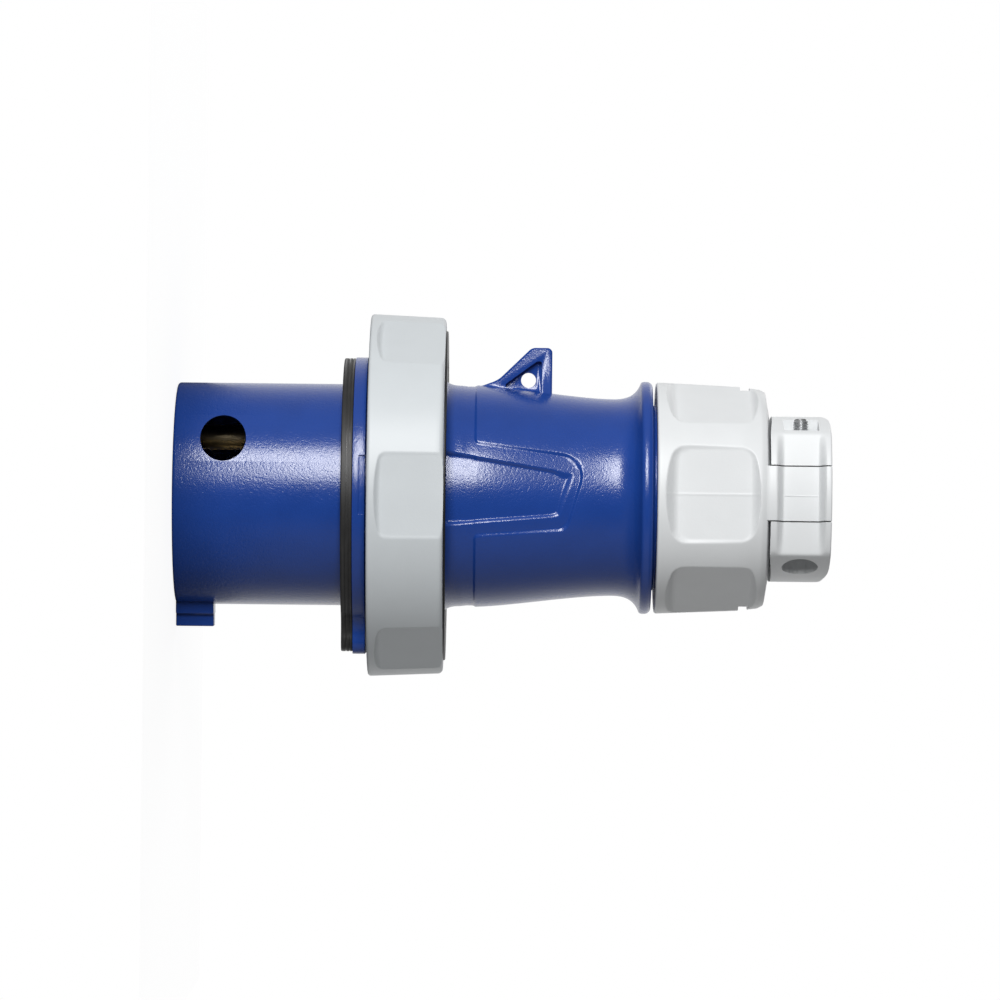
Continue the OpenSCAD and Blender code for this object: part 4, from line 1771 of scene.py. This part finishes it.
    def finish_jaw(self, jaw: bpy.types.Object, body: Body, node: str) -> None:
        """Softens, turns and dresses a jaw.

        Args:
            jaw: The jaw.
            body: The body that it rides on.
            node: The node that it stands for.
        """
        Bench.soften(jaw, 0.35, 3)
        Bench.smooth(jaw, 40)
        Bench.turn(jaw, self.turn)
        Bench.hand_over(jaw, Finishes.NUT, body, "nut_grey", node)

    def build_jaws(self) -> None:
        """Builds both jaws with their screw holes and the room for the screws' ends."""
        upper = self.jaw("upper_clamp_jaw")
        for side in (-1, 1):
            Bench.cut(upper, self.rod(side, -PAST_SIDE, 10, self.screw_hole))
            near, far = (side * self.screw_off + off for off in (-self.pocket, self.pocket))
            low, high = self.screw_z - self.window_half, self.screw_z + self.window_half
            window = (-PAST_SIDE, near, low), (self.window_floor, far, high)
            Bench.cut(upper, Bench.block("window", *window))
            Bench.cut(upper, self.rod(side, self.nut_floor, 0, self.nut_r + 0.1, 6))
        self.finish_jaw(upper, Body.UPPER, "upper_jaw")
        lower = self.jaw("lower_clamp_jaw")
        Bench.mirror_x(lower)
        for side in (-1, 1):
            Bench.cut(lower, self.rod(side, -10, PAST_SIDE, self.screw_hole))
            Bench.cut(lower, self.rod(side, 15, PAST_SIDE, self.pocket))
        self.finish_jaw(lower, Body.LOWER, "lower_jaw")

    def build_nuts(self) -> None:
        """Builds the two hexagon nuts that the upper jaw holds."""
        low = self.nut_floor + 0.04
        nuts = [self.rod(side, low, low + self.nut_high, self.nut_r, 6) for side in (-1, 1)]
        pair = Bench.together(*nuts)
        Bench.soften(pair, 0.35, 2)
        for side in (-1, 1):
            Bench.cut(pair, self.rod(side, -30, 0, 2.6))
        pair.name = "captive_nuts"
        Bench.smooth(pair, 35)
        Bench.turn(pair, self.turn)
        Bench.hand_over(pair, Finishes.STEEL, Body.UPPER, "screw_steel", "clamp_nuts")


@dataclass
class ClampScrew:
    """A clamp screw with a slotted cheese head and a cut thread.

    Attributes:
        side: -1 for the near screw and 1 for the far one.
        clamp: The clamp that it belongs to.
        radius: The thread's outer radius.
        tip: Place of its tip along X.
        seat: Place of its head's seat along X.
        head: The head's radius.
        head_height: The head's height.
        pitch: The thread's pitch.
        thread: The thread's length.
        thread_deep: The thread's depth.
        slot_half: Half of the slot's width.
        slot_deep: The slot's depth.
        columns: The number of steps round the screw.
    """

    side: int
    clamp: ClampForm
    radius: float = 2.5
    tip: float = -24.4
    seat: float = 15.02
    head: float = 4.25
    head_height: float = 3.5
    pitch: float = 0.8
    thread: float = 24.5
    thread_deep: float = 0.42
    slot_half: float = 0.6
    slot_deep: float = 1.2
    columns: int = 32

    def build(self, name: str, node: str) -> None:
        """Builds the screw along X and dresses it.

        Args:
            name: The piece's name.
            node: The node that it stands for.
        """
        length = self.seat - self.tip
        corners = [
            (0.0, 0.0, 0), (self.radius - 0.75, 0.0, 0.2), (self.radius, 0.8, 0.1),
            (self.radius, length, 0.1), (self.head, length, 0.35),
            (self.head, length + self.head_height, 0.6), (0.0, length + self.head_height, 0),
        ]

        def spacing(spot: Point) -> float:
            """How far apart points may be, fine along the thread."""
            return 0.1 if 2 < spot[0] < 3 and spot[1] < 26 else 1.2

        screw = Bench.spin(name, divided(rounded(corners, 4), spacing), self.columns)
        spots = Bench.places(screw)
        reach, z = np.hypot(spots[:, 0], spots[:, 1]), spots[:, 2]
        angle = np.arctan2(spots[:, 1], spots[:, 0]) / (2 * math.pi)
        wave = np.abs(((z / self.pitch - angle) % 1) * 2 - 1)
        on_thread = (reach > 1.2) & (z < self.thread)
        deep = self.thread_deep * wave * ease((self.thread - z) / 1.5) * ease(z / 0.6)
        factor = np.where(on_thread, 1 - deep / np.maximum(reach, 1), 1)
        spots[:, 0] *= factor
        spots[:, 1] *= factor
        Bench.place(screw, spots)
        top = length + self.head_height
        slot = (-self.slot_half, -9, top - self.slot_deep), (self.slot_half, 9, top + 2)
        Bench.cut(screw, Bench.block("slot", *slot))
        spots = Bench.places(screw)
        along = np.stack([spots[:, 2] + self.tip, spots[:, 1], -spots[:, 0]], 1)
        along[:, 1] += self.side * self.clamp.screw_off
        along[:, 2] += self.clamp.screw_z
        Bench.place(screw, along)
        Bench.smooth(screw, 35)
        Bench.turn(screw, self.clamp.turn)
        Bench.hand_over(screw, Finishes.STEEL, Body.LOWER, "screw_steel", node)


@dataclass
class Turned:
    """A turned or moulded round piece.

    Attributes:
        name: The piece's name.
        node: The node that it stands for.
        corners: Its section's corners: radius, height and rounding.
        finish: Its finish.
        body: The body that it rides on.
        slot: The record's material slot.
        steps: The number of steps round it.
    """

    name: str
    node: str
    corners: list[Corner]
    finish: Any
    body: Body
    slot: str
    steps: int = 192

    def build(self) -> None:
        """Builds the piece and dresses it."""
        piece = Bench.spin(self.name, rounded(self.corners, 4), self.steps)
        Bench.smooth(piece, 32)
        Bench.hand_over(piece, self.finish, self.body, self.slot, self.node)


def turned_pieces() -> list[Turned]:
    """The round pieces, which are the ring's hub and plate, the seal, the grommet and its ring.

    Returns:
        The pieces.
    """
    slip = [
        (36.03, 77.0, 0.2), (46.0, 77.0, 0.4), (46.0, 80.92, 0.2), (41.2, 80.92, 0.1),
        (41.2, 86.3, 0.5), (37.45, 86.3, 0.3), (37.45, 84.42, 0), (36.03, 84.42, 0.1),
    ]
    plate = [
        (41.22, 83.8, 0.1), (52.8, 83.8, 0.2), (52.8, 86.4, 0.4), (43.6, 86.4, 0.4),
        (43.6, 85.3, 0.2), (41.22, 85.3, 0.1),
    ]
    seal = [(30.25, 65.95, 1.04), (32.35, 65.95, 1.04), (32.35, 68.05, 1.04), (30.25, 68.05, 1.04)]
    grommet = [
        (14, 150.5, 0.6), (24.8, 150.5, 0.3), (24.8, 170.5, 0.3), (23.3, 172, 0.3),
        (20.3, 172, 0.2), (20.3, 169, 0.2), (19.5, 169, 0.2), (19.5, 172, 0.2),
        (17.3, 172, 0.2), (17.3, 169, 0.2), (16.5, 169, 0.2), (16.5, 172, 0.2), (14, 172, 0.5),
    ]
    thrust = [
        (18.5, 172.08, 0.4), (23.8, 172.08, 0.3), (24.6, 172.88, 0.3), (24.6, 183.92, 0.3),
        (18.5, 183.92, 0.4),
    ]
    return [
        Turned("ring_hub", "slip_ring", slip, Finishes.BLACK, Body.SLIP, "black_plastic"),
        Turned("ring_back_plate", "ring_retainer", plate, Finishes.BLACK, Body.SLIP, "black_plastic"),
        Turned("housing_seal", "body_seal", seal, Finishes.RUBBER, Body.PLUG, "black_rubber"),
        Turned("grommet", "cable_grommet", grommet, Finishes.RUBBER, Body.PLUG, "black_rubber"),
        Turned("gland_thrust_ring", "thrust_ring", thrust, Finishes.NUT, Body.THRUST, "nut_grey", 144),
    ]


@dataclass
class Contact:
    """A contact pin with its rounded tip, its shank and its terminal barrel.

    Attributes:
        name: The piece's name.
        node: The node that it stands for.
        radius: The pin's radius.
        tip: Height of its tip.
        place: Its axis's place.
        sides: The number of steps round it.
        shank_step: How much wider the shank is.
        barrel_step: How much wider the barrel is.
        collar: Height at which the shank starts.
        carrier_back: Height at which the barrel starts.
        end: Height of the barrel's end.
        screws: Heights of the terminal screws' holes.
    """

    name: str
    node: str
    radius: float
    tip: float
    place: Point
    sides: int = 72
    shank_step: float = 0.8
    barrel_step: float = 2.6
    collar: float = 44.0
    carrier_back: float = 68.0
    end: float = 88.0
    screws: tuple[float, float] = (77.5, 84.0)

    def build(self) -> None:
        """Builds the pin and dresses it."""
        shank, barrel = self.radius + self.shank_step, self.radius + self.barrel_step
        bore = self.radius + 0.3
        corners = [
            (0, self.tip, 0), (self.radius - 0.75, self.tip, 0.7), (self.radius, self.tip + 1.3, 0.7),
            (self.radius, self.collar, 0.1), (shank, self.collar, 0.1),
            (shank, self.carrier_back, 0.1), (barrel, self.carrier_back, 0.4),
            (barrel, self.end, 0.7), (bore, self.end, 0.4), (bore, self.end - 14, 0.2),
            (0, self.end - 14, 0),
        ]
        pin = Bench.spin(self.name, rounded(corners, 5), self.sides)
        for z in self.screws:
            Bench.cut(pin, Bench.rod("hole", (0, 0, z), (1, 0, 0), 2.0, 20, 32))
        x, y = self.place
        Bench.turn(pin, math.degrees(math.atan2(y, x)) if math.hypot(x, y) > 1 else 45.0)
        Bench.place(pin, Bench.places(pin) + np.array([x, y, 0.0]))
        Bench.smooth(pin, 32)
        Bench.hand_over(pin, Finishes.BRASS, Body.PLUG, "contact_brass", self.node)


def contacts(circle: float = 18.0) -> list[Contact]:
    """The five pins, earth towards -Y, the phases round the circle and the pilot.

    Args:
        circle: Radius of the circle on which they stand.

    Returns:
        The pins.
    """
    return [
        Contact("earth_contact", "earth_pin", 5.0, 3.5, (0.0, -circle)),
        Contact("phase_contact_1", "phase_pin_1", 4.0, 4.5, (circle, 0.0)),
        Contact("phase_contact_2", "phase_pin_2", 4.0, 4.5, (0.0, circle)),
        Contact("phase_contact_3", "phase_pin_3", 4.0, 4.5, (-circle, 0.0)),
        Contact("pilot_contact", "pilot_pin", 3.0, 12.0, (0.0, 0.0)),
    ]


@dataclass
class Carrier:
    """The moulded carrier with a collar round each pin and its two screws' holes.

    Attributes:
        face: Height of its face.
        ledge: Height of its shoulder.
        back: Height of its back.
        reach: Its radius before the shoulder.
        body: Its radius behind the shoulder.
        collar: Height of the pins' collars.
        wall: Thickness of their walls.
        screw_off: Distance of its screws from the axis.
    """

    face: float = 47.0
    ledge: float = 52.0
    back: float = 68.0
    reach: float = 32.22
    body: float = 29.12
    collar: float = 3.0
    wall: float = 2.4
    screw_off: float = 24.5

    def build(self, pins: Sequence[Contact]) -> None:
        """Builds the carrier and dresses it.

        Args:
            pins: The pins that it holds.
        """
        corners = [
            (0, self.face, 0), (self.reach, self.face, 0.6), (self.reach, self.ledge, 0.2),
            (self.body, self.ledge, 0.2), (self.body, self.back, 0.6), (0, self.back, 0),
        ]
        carrier = Bench.spin("contact_holder", rounded(corners, 4), 144)
        for pin in pins:
            start = (*pin.place, self.face - self.collar)
            collar = Bench.rod("collar", start, (0, 0, 1), pin.radius + self.wall, 6, 72)
            Bench.soften(collar, 0.5, 3)
            Bench.cut(carrier, collar, Cut.ONTO)
        for pin in pins:
            start = (*pin.place, self.face - 8)
            hole = Bench.rod("hole", start, (0, 0, 1), pin.radius + pin.shank_step, 40, 72)
            Bench.cut(carrier, hole)
        for turn in (45, 225):
            way = math.radians(turn)
            start = (self.screw_off * math.cos(way), self.screw_off * math.sin(way), self.face - 1)
            Bench.cut(carrier, Bench.rod("head", start, (0, 0, 1), 3.4, 4.4, 48))
            Bench.cut(carrier, Bench.rod("shank", start, (0, 0, 1), 1.7, 40, 32))
        Bench.smooth(carrier, 32)
        Bench.hand_over(carrier, Finishes.BLACK, Body.PLUG, "black_plastic", "contact_carrier")


class CadNodes:
    """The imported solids, each with its finish, also those that a piece stands for."""

    GROUPS = (
        (Finishes.BLUE, ("sleeve_housing", "handle_body")),
        (Finishes.RUBBER, ("flange_gasket", "body_seal", "cable_grommet")),
        (Finishes.BLACK, ("contact_carrier", "slip_ring", "ring_retainer")),
        (Finishes.NUT, ("thrust_ring", "gland_nut", "upper_jaw", "lower_jaw")),
        (Finishes.RING, ("locking_ring",)),
        (Finishes.BRASS, ("phase_pin_1", "phase_pin_2", "phase_pin_3", "earth_pin", "pilot_pin")),
        (Finishes.STEEL, ("terminal_screws", "carrier_screws", "clamp_nuts")),
        (Finishes.STEEL, ("clamp_screw_near", "clamp_screw_far")),
    )

    def dress(self) -> None:
        """Gives every node its finish."""
        for finish, names in self.GROUPS:
            for name in names:
                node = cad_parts[name]
                node.data.materials.clear()
                node.data.materials.append(FINISHES.of(finish))
            LOG.info("%s: %s", finish.name, ", ".join(names))


@dataclass
class Studio:
    """The camera at the photograph's viewing angle, the floor and the soft light.

    Attributes:
        distance: From the plug's axis to the camera, in metres.
        lens: The camera's lens in millimetres.
        height: The camera's height, in millimetres.
        aside: How far the camera is from the axis towards +X, in millimetres.
        roll: How far the picture is turned beyond the quarter turn, in degrees.
        key_power: Power of the main lamp, in watts.
        key_height: How far it stands from the camera's direction towards -X, in degrees.
        key_away: Its distance from the plug, in metres.
        back_power: Power of the weak lamp behind the plug, in watts.
        before: Strength of the world on the camera's side.
        behind: Its strength behind the plug.
        at_camera: The share of it that is left round the camera.
        at_ends: The share of it that is left beyond the plug's ends.
        floor_size: The floor's size, in metres.
        floor_glow: How bright the floor is to the camera without its light.
    """

    distance: float = 1.85
    lens: float = 207.45
    height: float = 103.45
    aside: float = 1.17
    roll: float = 0.62
    key_power: float = 38.2
    key_height: float = 31.0
    key_away: float = 2.0
    back_power: float = 6.0
    before: float = 0.38
    behind: float = 1.0
    at_camera: float = 0.12
    at_ends: float = 0.3
    floor_size: float = 0.34
    floor_glow: float = 0.88

    def camera(self) -> None:
        """Makes the camera. The picture's right is +Z and its top is -X."""
        data = bpy.data.cameras.new("camera")
        data.lens = self.lens
        data.sensor_width = 36.0
        camera = bpy.data.objects.new("camera", data)
        bpy.context.scene.collection.objects.link(camera)
        right, top, back = Vector((0, 0, 1)), Vector((-1, 0, 0)), Vector((0, -1, 0))
        turn = Matrix((right, top, back)).transposed()
        turn = turn @ Matrix.Rotation(math.radians(self.roll), 3, "Z")
        camera.matrix_world = turn.to_4x4()
        camera.location = (self.aside * MM, -self.distance, self.height * MM)
        data.clip_start, data.clip_end = 0.05, 50.0
        bpy.context.scene.camera = camera

    def lamp(self, name: str, place: Sequence[float], size: Point, power: float) -> None:
        """Adds an oblong area lamp that looks at the middle of the plug.

        Args:
            name: Its name.
            place: Where it stands, in metres.
            size: Its size across and along the plug, in metres.
            power: Its power in watts.
        """
        data = bpy.data.lights.new(name, "AREA")
        data.shape = "RECTANGLE"
        data.size, data.size_y = size
        data.energy = power
        lamp = bpy.data.objects.new(name, data)
        bpy.context.scene.collection.objects.link(lamp)
        middle = Vector((0, 0, 0.104))
        lamp.location = place
        way = middle - Vector(place)
        lamp.rotation_mode = "QUATERNION"
        lamp.rotation_quaternion = way.to_track_quat("-Z", "Y")

    def light(self) -> None:
        """Adds the lamps: a soft box above the picture's plug, and a weak one opposite."""
        high = math.radians(self.key_height)
        key = (-self.key_away * math.sin(high), -self.key_away * math.cos(high), 0.06)
        self.lamp("key", key, (1.1, 0.5), self.key_power)
        self.lamp("back", (-0.6, 1.9, 1.3), (1.2, 1.2), self.back_power)

    def world(self) -> None:
        """Makes the world: white to the camera, pale behind the plug and dark before it."""
        world = bpy.data.worlds.new("studio")
        bpy.context.scene.world = world
        world.use_nodes = True
        sky = Tree(world.node_tree)
        path = sky.node("ShaderNodeLightPath", {}, {}).outputs
        seen = Value(sky, path["Is Camera Ray"]).most(path["Is Transmission Ray"])
        way = sky.node("ShaderNodeTexCoord", {}, {}).outputs["Generated"]
        parts = sky.node("ShaderNodeSeparateXYZ", {}, {0: way}).outputs
        deep, along = Value(sky, parts["Y"]), Value(sky, parts["Z"])
        light = deep.step(0.2, 0.95, self.before, self.behind)
        light *= deep.step(-0.97, -0.72, self.at_camera, 1.0)
        light *= abs(along).step(0.2, 0.75, 1.0, self.at_ends)
        strength = sky.node("ShaderNodeMix", {"data_type": "FLOAT"}, {0: seen, 2: light, 3: 1.0})
        inputs = {"Color": (1, 1, 1, 1), "Strength": strength.outputs[0]}
        glow = sky.node("ShaderNodeBackground", {}, inputs)
        sky.node("ShaderNodeOutputWorld", {}, {0: glow.outputs[0]})

    def floor(self) -> None:
        """Adds the pale floor, which is white to the camera apart from the plug's shadow."""
        bpy.ops.object.select_all(action="DESELECT")
        below = -0.2 * MM
        bpy.ops.mesh.primitive_plane_add(size=self.floor_size, location=(0, 0, below))
        floor = bpy.context.active_object
        floor.name = "floor"
        shader = Shader("floor_paint")
        shader.set("Base Color", (0.35, 0.35, 0.35, 1.0))
        shader.set("Roughness", 0.9)
        shader.set("Specular IOR Level", 0.0)
        path = shader.node("ShaderNodeLightPath", {}, {}).outputs["Is Camera Ray"]
        shader.set("Emission Color", shader.mix(path, (0.0, 0.0, 0.0), (1.0, 1.0, 1.0)))
        shader.set("Emission Strength", self.floor_glow)
        floor.data.materials.append(shader.material)

    def make(self) -> None:
        """Makes the camera, the lamps and the backdrop."""
        self.camera()
        self.light()
        self.world()
        self.floor()
        bpy.context.scene.view_settings.view_transform = "Standard"


def write_sizes() -> None:
    """Brings the view layer up to date."""
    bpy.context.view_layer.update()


def main() -> None:
    """Builds the studio and the pieces, and reports each of them."""
    logging.basicConfig(level=logging.INFO, format="%(message)s")
    Studio().make()
    CadNodes().dress()
    SleeveHousing().build()
    Handle().build()
    LockingRing().build()
    clamp = ClampForm()
    GlandNut().build(clamp)
    clamp.build_jaws()
    clamp.build_nuts()
    for piece in turned_pieces():
        piece.build()
    pins = contacts()
    for pin in pins:
        pin.build()
    Carrier().build(pins)
    ClampScrew(-1, clamp).build("near_clamp_screw", "clamp_screw_near")
    ClampScrew(1, clamp).build("far_clamp_screw", "clamp_screw_far")
    write_sizes()


if __name__ == "__main__":
    main()
